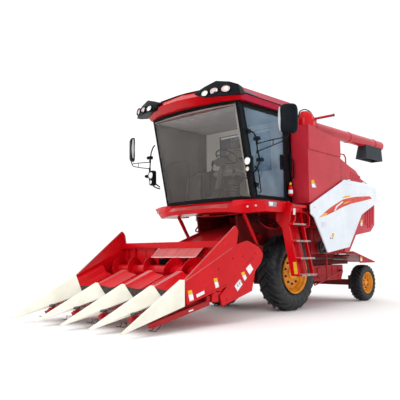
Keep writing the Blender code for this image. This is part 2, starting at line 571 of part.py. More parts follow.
def ladder():
    """Steps, their stringers and the small platform by the cab door, with its handrails."""
    low_y, high_y = -0.62, -0.14
    top, foot = (1.10, 1.80), (1.42, 0.64)
    platform = box("ladder", (1.04, -0.60, 1.80), (1.335, -0.13, 1.84), RED)
    brace = box("brace", (0.96, -0.60, 1.72), (1.30, -0.20, 1.81), RED)
    gusset = [
        (1.04, 1.895), (1.29, 1.895), (1.335, 1.80), (1.31, 1.60), (1.26, 1.46), (1.14, 1.44), (1.02, 1.58), (1.02, 1.80),
    ]
    pieces = [brace, prism("gusset", "Y", gusset, low_y + 0.001, low_y + 0.026, RED)]
    for y, wide in ((low_y + 0.001, 0.14), (high_y - 0.03, 0.05)):
        side = [
            (top[0] + 0.11 - wide, top[1]), (top[0] + 0.11, top[1] + 0.02), (foot[0] + 0.03, foot[1] + 0.06),
            (foot[0] + 0.02, foot[1]), (foot[0] + 0.03 - wide, foot[1]),
        ]
        pieces.append(prism("stringer", "Y", side, y, y + 0.03, RED))
    # A closed sheet behind the treads, from the platform down to the foot plate.
    riser = [(top[0] - 0.035, top[1] + 0.01), (top[0] - 0.02, top[1] + 0.01), (foot[0] - 0.085, foot[1] + 0.01), (foot[0] - 0.10, foot[1] + 0.01)]
    pieces.append(prism("riser", "Y", riser, low_y + 0.02, high_y - 0.01, RED))
    for share in (0.25, 0.5, 0.75):
        x, z = on_line(top, foot, share)
        pieces.append(box("step", (x - 0.04, low_y + 0.02, z - 0.012), (x + 0.15, high_y - 0.02, z + 0.012), RED))
    pieces.append(box("foot_step", (foot[0] - 0.12, low_y + 0.02, foot[1]), (foot[0] + 0.09, high_y + 0.005, foot[1] + 0.025), RED))
    rear_grip = [(1.16, -0.155, 1.75), (1.28, -0.06, 1.72), (1.33, -0.05, 1.64), (1.33, -0.06, 1.50), (1.20, -0.155, 1.40)]
    front_grip = [(1.25, -0.605, 1.87), (1.36, -0.60, 1.84), (1.40, -0.60, 1.74), (1.40, -0.60, 1.58), (1.34, -0.60, 1.50), (1.24, -0.605, 1.49)]
    for grip in (rear_grip, front_grip):
        pieces.append(pipe("grip", grip, 0.014, RED))
    return join(platform, *pieces)


# Side doors

def side_doors():
    outline = [
        (-0.09, 1.86), (1.04, 2.36), (1.12, 2.405), (2.08, 2.405), (2.45, 2.33), (2.47, 2.04), (1.78, 1.76),
        (1.24, 1.12), (0.45, 1.02), (0.02, 1.64), (-0.09, 1.70),
    ]
    hinge = (SIDE_DOOR_HINGE[0], 1.6, SIDE_DOOR_HINGE[1])
    door = prism("side_door_left", "X", outline, BODY_SIDE + 0.024, BODY_SIDE + 0.054, WHITE, hinge)
    mirrored(door, "side_door_right")


# Unloading auger

def unloading_auger():
    x, y = AUGER_PIVOT
    pivot = (x, y, AUGER_Z)
    dome = [(0.0, 3.205), (0.17, 3.205), (0.17, 3.45), (0.15, 3.56), (0.09, 3.64), (0.0, 3.66)]
    elbow = turned("unloading_elbow", [(r, z - AUGER_Z) for r, z in dome], "Z", pivot, 16, RED, closed=False)
    collar = rod("collar", (x, y, AUGER_Z), (x, y + 0.24, AUGER_Z), 0.122, RED, 16)
    join(elbow, collar)
    tube = rod("unloading_tube", (x, y + 0.24 + GAP, AUGER_Z), (x, 3.38, AUGER_Z), 0.11, RED, 16, pivot)
    # A hand lever across the tube, on a bracket, to push it round.
    bracket = box("bracket", (x - 0.05, y + 0.26, AUGER_Z + 0.08), (x + 0.05, y + 0.33, AUGER_Z + 0.175), RED)
    lever = rod("lever", (x - 0.06, y + 0.295, 3.56), (x + 0.44, y + 0.295, 3.56), 0.025, RED, 8)
    join(tube, bracket, lever)
    mouth = [(x - 0.09, 2.56), (x + 0.09, 2.56), (x + 0.09, 3.30), (x - 0.09, 3.30)]
    outlet = [(x - 0.13, 2.50), (x + 0.13, 2.50), (x + 0.13, 3.26), (x - 0.13, 3.26)]
    spout = loft("unloading_spout", [[(a, b, 3.02) for a, b in outlet], [(a, b, 3.32) for a, b in mouth]], BLACK, pivot)
    grown = rod("tube_room", (x, y + 0.35, AUGER_Z), (x, 3.6, AUGER_Z), 0.11 + GAP * 3, RED, 16)
    inner = [(x - 0.10, 2.55), (x + 0.10, 2.55), (x + 0.10, 3.21), (x - 0.10, 3.21)]
    hollow = loft("spout_hollow", [[(a, b, 2.9) for a, b in inner], [(a, b, 3.24) for a, b in inner]], BLACK)
    cut(spout, grown, hollow)
    return tube


# Feeder house and header

def feeder_house():
    y, z = LIFT_PIVOT
    end = arc((y, z), 0.27, -50, 70, 6)
    outline = [(-2.028, 0.40)] + end + [(-0.87, 1.43), (-1.60, 1.17), (-2.028, 1.02)]
    house = prism("feeder_house", "X", outline, -0.40, 0.40, RED, (0, y, z))
    shaft = rod("drive_shaft", (-0.53, y, z), (0.53, y, z), 0.05, STEEL, 12)
    pieces = [shaft]
    for side in (-1, 1):
        lug = [(-1.46, 0.50), (-1.34, 0.50), (-1.26, 0.74), (-1.54, 0.74)]
        for low in (side * 0.30 - 0.045, side * 0.30 + 0.030):
            pieces.append(prism("cylinder_ear", "X", lug, low, low + 0.015, RED))
        rail_low, rail_high = sorted((side * 0.38, side * 0.42))
        rail = [(-2.00, 1.00), (-1.60, 1.15), (-0.95, 1.385), (-0.95, 1.435), (-1.62, 1.21), (-2.00, 1.07)]
        pieces.append(prism("edge_rail", "X", rail, rail_low, rail_high, RED))
    join(house, *pieces)
    return house


def lift_cylinders():
    eye, base = (-1.40, 0.56), (-0.25, 0.53)
    middle = on_line(base, eye, 0.58)
    for side, word in ((1, "left"), (-1, "right")):
        x = side * 0.30
        barrel = rod(f"lift_barrel_{word}", (x, *on_line(base, eye, 0.07)), (x, *middle), 0.038, BLACK, 12, (x, *base))
        neck = rod("neck", (x, *base), (x, *on_line(base, eye, 0.09)), 0.022, BLACK, 12)
        eyelet = rod("eyelet", (x - 0.022, *base), (x + 0.022, *base), 0.045, BLACK, 12)
        bore = rod("bore", (x, *on_line(base, eye, 0.10)), (x, *on_line(base, eye, 0.70)), 0.0252, BLACK, 12)
        join(barrel, neck, eyelet)
        cut(barrel, bore)
        rod_piece = rod(f"lift_rod_{word}", (x, *on_line(base, eye, 0.30)), (x, *on_line(base, eye, 0.97)), 0.021, STEEL, 12, (x, *eye))
        rod_eye = rod("rod_eye", (x - 0.024, *eye), (x + 0.024, *eye), 0.038, STEEL, 12)
        join(rod_piece, rod_eye)


def header_frame():
    """Trough, rear wall, side panels with their tall fins, and the beams below."""
    trough = [
        (-2.555, 0.48), (-2.48, 0.45), (-2.28, 0.43), (-2.09, 0.48), (-2.03, 0.60), (-2.03, 1.20), (-2.06, 1.20),
        (-2.055, 0.61), (-2.12, 0.52), (-2.28, 0.465), (-2.48, 0.482), (-2.555, 0.51),
    ]
    frame = prism("header_frame", "X", trough, -1.275, 1.275, RED)
    inlet = box("inlet", (-0.38, -2.2, 0.47), (0.38, -1.9, 0.94), RED)
    cut(frame, inlet)
    top_beam = box("top_beam", (-1.275, -2.12, 1.12), (1.275, -2.032, 1.20), RED)
    foot_beam = box("foot_beam", (-1.275, -2.555, 0.34), (1.275, -2.42, 0.46), RED)
    panel = [
        (-3.12, 0.66), (-2.10, 1.12), (-1.75, 1.21), (-1.48, 1.12), (-1.36, 1.02), (-1.40, 0.90), (-1.57, 0.76), (-1.66, 0.45),
        (-2.35, 0.27), (-2.40, 0.42), (-2.24, 0.55), (-3.08, 0.34),
    ]
    pieces = [top_beam, foot_beam]
    for side in (-1, 1):
        low, high = sorted((side * (HEADER_HALF - 0.025), side * HEADER_HALF))
        pieces.append(prism("panel", "X", panel, low, high, RED))
        inner, outer = side * (HEADER_HALF - 0.024), side * (HEADER_HALF - 0.002)
        lean = side * 0.055
        # The fin is a leaning plate: its foot is on the panel and its crest stands further out.
        outline = [(-3.11, 0.60, 0.0), (-2.02, 1.08, 0.0), (-2.02, 1.36, 0.9), (-2.08, 1.43, 1.0), (-3.11, 0.665, 0.05)]
        near = [(inner + lean * k, y, z) for y, z, k in outline]
        far = [(outer + lean * k, y, z) for y, z, k in outline]
        pieces.append(loft("fin", [near, far], RED))
    return join(frame, *pieces)


def row_hoods():
    """The hoods between the rows with the apron that joins them, and the two outer half hoods."""
    front_y, back_y = SNOUT_BASE_Y + 0.012, -2.568
    pieces = []
    for place in (-1, 0, 1):
        x = place * ROW_SPACING
        sections = []
        for y, top, side, low in ((front_y, 0.555, 0.375, 0.345), (back_y, 0.76, 0.60, 0.45)):
            sections.append([
                (x - 0.225, y, low), (x - 0.225, y, side), (x - 0.035, y, top), (x + 0.035, y, top),
                (x + 0.225, y, side), (x + 0.225, y, low),
            ])
        pieces.append(loft("hood", sections, RED))
    for side in (-1, 1):
        outer, inner = side * (HEADER_HALF - 0.0275), side * 1.06
        sections = []
        for y, top, low in ((front_y, 0.62, 0.345), (back_y, 0.84, 0.45)):
            sections.append([(outer, y, low), (outer, y, top), (inner + side * 0.12, y, top - 0.06), (inner, y, top - 0.24), (inner, y, low)])
        pieces.append(loft("outer_hood", sections, RED))
    # A leaning apron carries on behind the hoods, and a strip under them ties all of it together.
    apron = [(-2.635, 0.542), (-2.600, 0.542), (-2.520, 0.98), (-2.548, 0.98)]
    base = prism("row_hoods", "X", apron, -1.258, 1.258, RED)
    for place in (-1.5, -0.5, 0.5, 1.5):
        x = place * ROW_SPACING
        notch = [(x - 0.10, 0.50), (x + 0.10, 0.50), (x + 0.16, 0.84), (x + 0.22, 1.10), (x - 0.22, 1.10), (x - 0.16, 0.84)]
        cut(base, prism("notch", "Y", notch, -2.70, -2.40, RED))
    pieces.append(box("tie_strip", (-1.258, -2.70, 0.44), (1.258, -2.624, 0.545), RED))
    return join(base, *pieces)


def row_units():
    """Arms, deck plates, gathering chains and stalk rolls of the four rows on their cross tube."""
    beam = box("row_units", (-1.25, -2.64, 0.345), (1.25, -2.565, 0.43), DARK_RED)
    pieces = []
    front, back = (-3.74, 0.14), (-2.58, 0.37)
    for place in (-1.5, -0.5, 0.5, 1.5):
        x = place * ROW_SPACING
        for side in (-1, 1):
            near, far = sorted((x + side * 0.055, x + side * 0.10))
            arm = [front, (front[0] + 0.02, front[1] + 0.07), (back[0], back[1] + 0.06), (back[0], back[1] - 0.05)]
            pieces.append(prism("arm", "X", arm, near, far, DARK_RED))
            roll_front, roll_back = on_line(front, back, 0.12), on_line(front, back, 0.98)
            pieces.append(rod("stalk_roll", (x + side * 0.04, roll_front[0], roll_front[1] - 0.005), (x + side * 0.04, roll_back[0], roll_back[1] - 0.03), 0.035, DARK_RED, 6))
    # The outer beams run forward under the side panels.
    for side in (-1, 1):
        outer = [(-3.66, 0.085), (-3.69, 0.15), (-2.57, 0.375), (-2.57, 0.30)]
        pieces.append(prism("outer_beam", "X", outer, *sorted((side * 1.17, side * 1.245)), DARK_RED))
    return join(beam, *pieces)


def snout(name, x, outer_side=0):
    """A divider: a sheet cover from its tip to its base, hinged along the top of the base."""
    thickness = 0.008
    if outer_side:
        outside, top_z, tip_x = outer_side * (HEADER_HALF + 0.015), 0.68, outer_side * 1.30
        ridge, inside = outer_side * (HEADER_HALF - 0.08), outer_side * 1.03
        base = [(outside, 0.33), (outside, top_z), (ridge, top_z), (inside, 0.40), (inside, 0.345)]
        tip = [(tip_x + outer_side * 0.004, 0.07), (tip_x, 0.095), (tip_x - outer_side * 0.012, 0.095), (tip_x - outer_side * 0.03, 0.08), (tip_x - outer_side * 0.03, 0.07)]
    else:
        top_z = 0.585
        base = [(x - 0.245, 0.34), (x - 0.245, 0.39), (x - 0.035, top_z), (x + 0.035, top_z), (x + 0.245, 0.39), (x + 0.245, 0.34)]
        tip = [(x - 0.02, 0.07), (x - 0.02, 0.08), (x - 0.006, 0.095), (x + 0.006, 0.095), (x + 0.02, 0.08), (x + 0.02, 0.07)]
    bm = bmesh.new()
    rings = []
    for share in (0.0, 0.45, 1.0):
        y = SNOUT_TIP_Y + (SNOUT_BASE_Y - SNOUT_TIP_Y) * share
        rings.append([bm.verts.new((a + (c - a) * share, y, b + (d - b) * share)) for (a, b), (c, d) in zip(tip, base)])
    for ring, following in zip(rings, rings[1:]):
        for i in range(len(ring) - 1):
            bm.faces.new((ring[i], ring[i + 1], following[i + 1], following[i]))
    pivot = (x if not outer_side else outer_side * (HEADER_HALF - 0.1), SNOUT_BASE_Y + 0.005, top_z)
    cover = placed(name, bm, CREAM, pivot)
    solidify = cover.modifiers.new("sheet", "SOLIDIFY")
    solidify.thickness = thickness
    solidify.offset = -1 if outer_side >= 0 else 1
    solidify.use_even_offset = True
    return cover


def header_auger():
    """Centre tube with two flights that bring the ears in to the feeder."""
    y, z, half, core, reach = -2.295, 0.74, 1.22, 0.11, 0.235
    auger = rod("header_auger", (-half, y, z), (half, y, z), core, RED, 16, (0, y, z))
    steps, turns = 16, 2.5
    flights = []
    for side in (-1, 1):
        bm = bmesh.new()
        count = int(steps * turns)
        previous = None
        for i in range(count + 1):
            angle = 2 * math.pi * i / steps + 0.13
            x = side * (half - 0.02 - (half - 0.24) * i / count)
            direction = Vector((0, math.cos(angle), math.sin(angle)))
            here = []
            for radius, shift in ((core - 0.03, -0.006), (reach, -0.006), (reach, 0.006), (core - 0.03, 0.006)):
                here.append(bm.verts.new(Vector((x + shift, y, z)) + direction * radius))
            if previous:
                for a in range(4):
                    b = (a + 1) % 4
                    bm.faces.new((previous[a], previous[b], here[b], here[a]))
            else:
                bm.faces.new(here)
            previous = here
        bm.faces.new(previous)
        bmesh.ops.triangulate(bm, faces=bm.faces)
        flights.append(placed("flight", bm, RED))
    return join(auger, *flights)


front_centre = wheel("front", FRONT_WHEEL, 0.0)
rear_centre = wheel("rear", REAR_WHEEL, WHEELBASE)
front_axle(front_centre[2])
rear_axle(rear_centre[2])
steering(rear_centre[2])
chassis()
threshing_body()
belt_drive()
grain_tank()
engine()
straw_hood()
tail_deflector()
cab()
roof_light()
fairing()
cab_inside()
mirror()
ladder()
side_doors()
unloading_auger()
feeder_house()
lift_cylinders()
header_frame()
row_hoods()
row_units()
snout("snout_1", 1, 1)
for number, place in ((2, 1), (3, 0), (4, -1)):
    snout(f"snout_{number}", place * ROW_SPACING)
snout("snout_5", -1, -1)
header_auger()
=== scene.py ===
# Combine harvester with a four row maize header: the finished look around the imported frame.
# Pieces are drawn in metres from the front axle: x to the machine's left, y to the rear, z up from the ground.
import json
from math import acos, atan2, copysign, cos, exp, hypot, pi, radians, sin

import bmesh
import bpy
from mathutils import Matrix, Vector


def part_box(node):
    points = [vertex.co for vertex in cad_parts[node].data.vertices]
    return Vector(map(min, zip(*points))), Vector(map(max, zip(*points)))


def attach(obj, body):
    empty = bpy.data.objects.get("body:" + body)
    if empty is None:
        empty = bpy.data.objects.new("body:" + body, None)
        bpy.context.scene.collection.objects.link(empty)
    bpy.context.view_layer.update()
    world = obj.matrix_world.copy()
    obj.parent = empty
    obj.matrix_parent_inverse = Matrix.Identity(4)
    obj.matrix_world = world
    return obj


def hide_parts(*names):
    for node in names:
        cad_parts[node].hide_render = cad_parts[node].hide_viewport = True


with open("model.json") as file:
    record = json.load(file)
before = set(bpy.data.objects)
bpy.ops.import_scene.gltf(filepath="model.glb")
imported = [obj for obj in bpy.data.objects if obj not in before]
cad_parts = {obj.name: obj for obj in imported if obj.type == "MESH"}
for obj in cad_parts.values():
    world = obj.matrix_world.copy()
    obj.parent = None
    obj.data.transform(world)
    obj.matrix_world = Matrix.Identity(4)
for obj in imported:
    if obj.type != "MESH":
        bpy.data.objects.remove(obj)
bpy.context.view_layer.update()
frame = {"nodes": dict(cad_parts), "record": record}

tyreLow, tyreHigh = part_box("front_tyre_left")
axleY = (tyreLow.y + tyreHigh.y) / 2
rearLow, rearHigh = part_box("rear_tyre_left")
rearY = (rearLow.y + rearHigh.y) / 2 - axleY
bodyOf = {n: b for b, group in frame["record"]["behaviour"]["bodies"].items() for n in group}


# finishes

finishes = {}


def wire(tree, a, out, b, into):
    tree.links.new(a.outputs[out], b.inputs[into])


def fill(node, values):
    for key, value in values.items():
        node.inputs[key].default_value = value
    return node


def finish(name, dark, light, rough, scale, grain, bump, coat=0, metal=0, spec=0.2, sheen=0, alpha=1, dust=None,
           weave=False):
    # colour drifts between dark and light, roughness follows it, and a fine grain gives the bump
    mat = bpy.data.materials.new(name)
    mat.use_nodes = True
    tree = mat.node_tree

    def add(kind, values):
        return fill(tree.nodes.new("ShaderNode" + kind), values)

    shader = fill(tree.nodes["Principled BSDF"], {
        "Metallic": metal, "Coat Weight": coat, "Coat Roughness": 0.08, "Sheen Weight": sheen,
        "Specular IOR Level": spec, "Alpha": alpha})
    place = add("TexCoord", {})
    drift = add("TexNoise", {"Scale": scale, "Detail": 6, "Roughness": 0.6})
    wire(tree, place, "Object", drift, "Vector")
    colour = add("ValToRGB", {})
    for stop, position, tone in zip(colour.color_ramp.elements, (0.32, 0.7), (dark, light)):
        stop.position, stop.color = position, (*tone, 1)
    wire(tree, drift, "Fac", colour, "Fac")
    if dust:  # settles low down: its colour, how high it reaches, how much of it
        tone, high, share = dust
        split = add("SeparateXYZ", {})
        wire(tree, place, "Object", split, "Vector")
        fade = add("MapRange", {"From Min": 0, "From Max": high, "To Min": share, "To Max": 0.02})
        wire(tree, split, "Z", fade, "Value")
        specks = add("TexNoise", {"Scale": 9, "Detail": 8})
        wire(tree, place, "Object", specks, "Vector")
        amount = add("Math", {})
        amount.operation = "MULTIPLY"
        wire(tree, fade, "Result", amount, 0)
        wire(tree, specks, "Fac", amount, 1)
        mix = add("MixRGB", {"Color2": (*tone, 1)})
        wire(tree, amount, "Value", mix, "Fac")
        wire(tree, colour, "Color", mix, "Color1")
        colour = mix
    wire(tree, colour, "Color", shader, "Base Color")
    shine = add("MapRange", {"To Min": rough[0], "To Max": rough[1]})
    wire(tree, drift, "Fac", shine, "Value")
    wire(tree, shine, "Result", shader, "Roughness")
    if bump:
        if weave:
            fine = add("TexWave", {"Scale": grain, "Distortion": 1.5})
        else:
            fine = add("TexNoise", {"Scale": grain, "Detail": 3})
        wire(tree, place, "Object", fine, "Vector")
        relief = add("Bump", {"Strength": bump, "Distance": 0.002})
        wire(tree, fine, "Fac", relief, "Height")
        wire(tree, relief, "Normal", shader, "Normal")
    if alpha < 1:
        mat.surface_render_method = "BLENDED"
    finishes[name] = mat
    return mat


soil = (0.24, 0.19, 0.13)
finish("glossRed", (0.47, 0.0015, 0.005), (0.6, 0.003, 0.009), (0.2, 0.34), 1.4, 140, 0.04, coat=0.07,
    spec=0.14)
# red paint mixed pinker than the header's red: the pink is a painted sky reflection on the tank's and hoods'
# sides
finish("sideRed", (0.4, 0.01, 0.022), (0.52, 0.026, 0.044), (0.22, 0.36), 1.2, 140, 0.04, coat=0.22)
# a darker, bluer red for the cab roof's side faces: painted shade
finish("roofRed", (0.33, 0.001, 0.026), (0.44, 0.004, 0.042), (0.22, 0.34), 1.2, 120, 0.04, coat=0.05,
    spec=0.12)
# a paler, pinker red for upward faces, crests and rolled edges: a painted highlight
finish("ridgeRed", (0.42, 0.05, 0.05), (0.56, 0.095, 0.09), (0.24, 0.4), 2.5, 140, 0.05, coat=0.2)
finish("chassisRed", (0.1, 0.002, 0.003), (0.19, 0.004, 0.006), (0.42, 0.62), 5, 90, 0.15,
    dust=(soil, 1.4, 0.22))
finish("bodyRed", (0.29, 0.002, 0.006), (0.42, 0.004, 0.01), (0.35, 0.5), 4, 90, 0.1, dust=(soil, 1.2, 0.1))
finish("doorWhite", (0.64, 0.69, 0.75), (0.78, 0.82, 0.87), (0.2, 0.36), 1.1, 120, 0.04, coat=0.25)
finish("snoutCream", (0.72, 0.7, 0.6), (0.88, 0.86, 0.75), (0.34, 0.5), 2.2, 160, 0.12, dust=(soil, 0.5, 0.14))
finish("rimYellow", (0.58, 0.195, 0.005), (0.76, 0.29, 0.01), (0.3, 0.45), 6, 110, 0.08, coat=0.1,
    dust=(soil, 1, 0.16))
finish("nutRed", (0.1, 0.003, 0.004), (0.2, 0.01, 0.008), (0.35, 0.55), 30, 120, 0.15)
finish("tyreRubber", (0.006, 0.009, 0.011), (0.018, 0.022, 0.025), (0.4, 0.62), 7, 190, 0.35,
    dust=(soil, 0.9, 0.06), spec=0.32)
finish("blackPlastic", (0.002, 0.003, 0.005), (0.006, 0.008, 0.011), (0.32, 0.5), 5, 260, 0.2, spec=0.08)
finish("blackSteel", (0.002, 0.003, 0.004), (0.007, 0.008, 0.01), (0.3, 0.48), 8, 150, 0.1, spec=0.08)
finish("blueBlack", (0.008, 0.03, 0.065), (0.012, 0.045, 0.09), (0.25, 0.4), 4, 150, 0.05, coat=0.1)
finish("rubberSeal", (0.003, 0.003, 0.004), (0.009, 0.009, 0.01), (0.6, 0.8), 20, 200, 0.3, spec=0.06)
finish("rubberFlap", (0.03, 0.02, 0.018), (0.085, 0.062, 0.055), (0.6, 0.8), 9, 150, 0.35)
finish("spoutRubber", (0.016, 0.022, 0.027), (0.03, 0.04, 0.048), (0.5, 0.7), 6, 120, 0.15)
finish("brightSteel", (0.42, 0.41, 0.4), (0.62, 0.61, 0.6), (0.24, 0.45), 14, 220, 0.12, metal=0.9)
finish("wornTread", (0.22, 0.09, 0.09), (0.46, 0.36, 0.36), (0.35, 0.6), 22, 160, 0.4, metal=0.35)
finish("castGrey", (0.05, 0.05, 0.052), (0.13, 0.13, 0.13), (0.45, 0.65), 12, 90, 0.35, metal=0.4)
finish("paleGrey", (0.36, 0.37, 0.38), (0.5, 0.51, 0.52), (0.4, 0.6), 8, 120, 0.1)
finish("cabGrey", (0.72, 0.7, 0.66), (0.84, 0.82, 0.78), (0.5, 0.7), 1.5, 220, 0.2)
finish("cabDark", (0.035, 0.034, 0.034), (0.06, 0.058, 0.056), (0.5, 0.7), 5, 240, 0.3)
finish("seatCloth", (0.09, 0.086, 0.084), (0.16, 0.154, 0.15), (0.75, 0.95), 10, 230, 0.5, weave=True,
    sheen=0.4)
finish("lampGlass", (0.72, 0.72, 0.7), (0.92, 0.92, 0.9), (0.08, 0.2), 40, 60, 0.4, metal=0.2, coat=0.8,
    spec=0.5)
finish("lampPink", (0.55, 0.3, 0.3), (0.84, 0.7, 0.68), (0.08, 0.2), 45, 60, 0.4, metal=0.2, coat=0.8, spec=0.5)
finish("mirrorFace", (0.55, 0.56, 0.58), (0.72, 0.73, 0.75), (0.04, 0.1), 3, 20, 0.02, metal=1)
finish("signYellow", (0.62, 0.36, 0.01), (0.8, 0.5, 0.03), (0.35, 0.5), 30, 150, 0.05)
finish("signWhite", (0.66, 0.66, 0.66), (0.84, 0.84, 0.84), (0.3, 0.45), 25, 150, 0.05)
finish("signGrey", (0.16, 0.19, 0.22), (0.36, 0.39, 0.42), (0.3, 0.45), 60, 150, 0.05)
finish("stripeRed", (0.5, 0.03, 0.015), (0.62, 0.07, 0.035), (0.25, 0.35), 5, 150, 0.03, coat=0.1)
finish("stripeGold", (0.62, 0.3, 0.02), (0.76, 0.44, 0.04), (0.25, 0.35), 5, 150, 0.03, coat=0.1)
finish("screenGlass", (0.26, 0.245, 0.225), (0.56, 0.54, 0.5), (0.05, 0.09), 0.6, 30, 0, alpha=0.11, spec=0.1)
finish("screenBand", (0.24, 0.225, 0.21), (0.38, 0.36, 0.33), (0.12, 0.2), 2, 60, 0, alpha=0.7)
finish("sideGlass", (0.035, 0.085, 0.15), (0.26, 0.37, 0.47), (0.04, 0.08), 1.6, 30, 0, alpha=0.5, spec=0.22)
# a nearly opaque dark pane for the right window: painted shade for the dim view through the cab
finish("smokeGlass", (0.035, 0.03, 0.031), (0.075, 0.064, 0.066), (0.05, 0.09), 1.2, 30, 0, alpha=0.97,
    spec=0.1)
finish("pinkHaze", (0.74, 0.4, 0.42), (0.84, 0.52, 0.53), (0.3, 0.45), 6, 140, 0.05, coat=0.1)
print("finishes mixed")


# shapes

bm = bmesh.new()  # what is being drawn; piece() takes it and starts the next
unit = {"X": Vector((1, 0, 0)), "Y": Vector((0, 1, 0)), "Z": Vector((0, 0, 1))}
turnFrames = {"X": "YZX", "Y": "XZY", "Z": "XYZ"}
facingFront = (unit["X"], unit["Z"], -unit["Y"])


def circle(sides):
    return [(cos(2 * pi * k / sides), sin(2 * pi * k / sides)) for k in range(sides)]


def put(axis, flat, along):
    a, b = flat
    return {"X": (along, a, b), "Y": (a, along, b), "Z": (a, b, along)}[axis]


def slab(axis, outline, low, high, mat=0):
    # an outline across an axis, made thick along it
    low, high = sorted((low, high))
    rings = [[bm.verts.new(put(axis, p, w)) for p in outline] for w in (low, high)]
    count = len(outline)
    faces = [bm.faces.new(rings[0]), bm.faces.new(rings[1])]
    for i in range(count):
        j = (i + 1) % count
        faces.append(bm.faces.new((rings[0][i], rings[0][j], rings[1][j], rings[1][i])))
    for f in faces:
        f.material_index = mat


def block(a, b, mat=0):
    (ax, bx), (ay, by), (az, bz) = [sorted(pair) for pair in zip(a, b)]
    slab("Z", [(ax, ay), (bx, ay), (bx, by), (ax, by)], az, bz, mat)


def label(corners, face, side, thick=0.0012, mat=0):
    # a thin plate on a flat side face
    slab("X", corners, face + side * 0.0002, face + side * (0.0002 + thick), mat)


def skin(rings, mat=0, loop=False):
    # faces through rings of points, with its ends capped or joined to each other
    made = [[bm.verts.new(p) for p in ring] for ring in rings]
    if loop:
        made.append(made[0])
    faces = []
    for a, b in zip(made, made[1:]):
        for i in range(len(a)):
            j = (i + 1) % len(a)
            faces.append(bm.faces.new((a[i], a[j], b[j], b[i])))
    if not loop:
        faces += [bm.faces.new(made[0]), bm.faces.new(made[-1])]
    for f in faces:
        f.material_index = mat


def eased(points, radius, steps=4, closed=False):
    # rounds the corners of a line of points
    points = [Vector(p) for p in points]
    count = len(points)
    out = []
    for i, p in enumerate(points):
        if not closed and i in (0, count - 1):
            out.append(p)
            continue
        a, b = points[i - 1], points[(i + 1) % count]
        reach = min(radius, (a - p).length * 0.45, (b - p).length * 0.45)
        start, end = p + (a - p).normalized() * reach, p + (b - p).normalized() * reach
        for k in range(steps + 1):
            t = k / steps
            out.append(start * (1 - t) ** 2 + p * 2 * t * (1 - t) + end * t ** 2)
    return out


def tube(points, radius, sides=10, mat=0, closed=False):
    # a round bar along a line of points; radius may be one number or one for each point
    points = [Vector(p) for p in points]
    count = len(points)
    ways = []
    for i in range(count):
        a = points[i - 1] if i or closed else points[i]
        b = points[(i + 1) % count] if i < count - 1 or closed else points[i]
        ways.append((b - a).normalized())
    up = unit["Z"] if abs(ways[0].z) < 0.9 else unit["X"]
    side = ways[0].cross(up).normalized()
    rings = []
    for i, (p, way) in enumerate(zip(points, ways)):
        side = (side - way * side.dot(way)).normalized()
        other = way.cross(side)
        r = radius[i] if isinstance(radius, (list, tuple)) else radius
        rings.append([p + (side * c + other * s) * r for c, s in circle(sides)])
    skin(rings, mat, closed)


def lathe(profile, centre, axis="X", sides=32, mat=0):
    # turns a profile of (radius, along) points; one that keeps off the axis makes a ring
    centre = Vector(centre)
    a, b, along = axis if isinstance(axis, tuple) else [unit[c] for c in turnFrames[axis]]
    rows = []
    for r, w in profile:
        spot = centre + along * w
        around = [spot + (a * c + b * s) * r for c, s in circle(sides)] if r else [spot]
        rows.append([bm.verts.new(p) for p in around])
    pairs = list(zip(rows, rows[1:]))
    if len(rows[0]) > 1 and len(rows[-1]) > 1:
        pairs.append((rows[-1], rows[0]))
    for p, q in pairs:
        for k in range(sides):
            j = (k + 1) % sides
            corners = [p[0]] if len(p) == 1 else [p[k], p[j]]
            corners += [q[0]] if len(q) == 1 else [q[j], q[k]]
            bm.faces.new(corners).material_index = mat


def piece(name, mats, bevel=0, swaps=(), body="machine", angle=35, rounds=0, steps=2, flip=False):
    # turns what was drawn into a finished object riding its body, and starts the next drawing
    global bm
    if flip:
        for v in bm.verts:
            v.co.x = -v.co.x
    bm.normal_update()
    bmesh.ops.recalc_face_normals(bm, faces=bm.faces)
    mesh = bpy.data.meshes.new(name)
    bm.to_mesh(mesh)
    bm.free()
    obj = bpy.data.objects.new(name, mesh)
    bpy.context.scene.collection.objects.link(obj)
    obj.location = (0, axleY, 0)
    for m in mats.split():
        mesh.materials.append(finishes[m])
    mesh.polygons.foreach_set("use_smooth", [True] * len(mesh.polygons))
    mesh.set_sharp_from_angle(angle=radians(angle))
    if bevel:
        edge = obj.modifiers.new("edge", "BEVEL")
        edge.width = bevel
        edge.segments = steps
        edge.limit_method = "ANGLE"
        edge.angle_limit = radians(32)
        edge.harden_normals = True
    if rounds:
        soft = obj.modifiers.new("soft", "SUBSURF")
        soft.levels = soft.render_levels = rounds
    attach(obj, body)
    if swaps:
        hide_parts(*swaps)
    bm = bmesh.new()
    return obj


def dressed(node, mats, bevel, angle=35, tint=None):
    # the CAD shape again, in axle coordinates, with soft edges; tint(face) may pick a second finish
    bm.from_mesh(frame["nodes"][node].data)
    bmesh.ops.remove_doubles(bm, verts=bm.verts, dist=0.00002)
    bmesh.ops.dissolve_limit(bm, angle_limit=radians(0.6), verts=bm.verts, edges=bm.edges)
    bmesh.ops.translate(bm, verts=bm.verts, vec=(0, -axleY, 0))
    bm.normal_update()
    for f in bm.faces:
        f.material_index = tint(f) if tint else 0
    piece("dressed_" + node, mats, bevel, (node,), bodyOf[node], angle)


# wheels

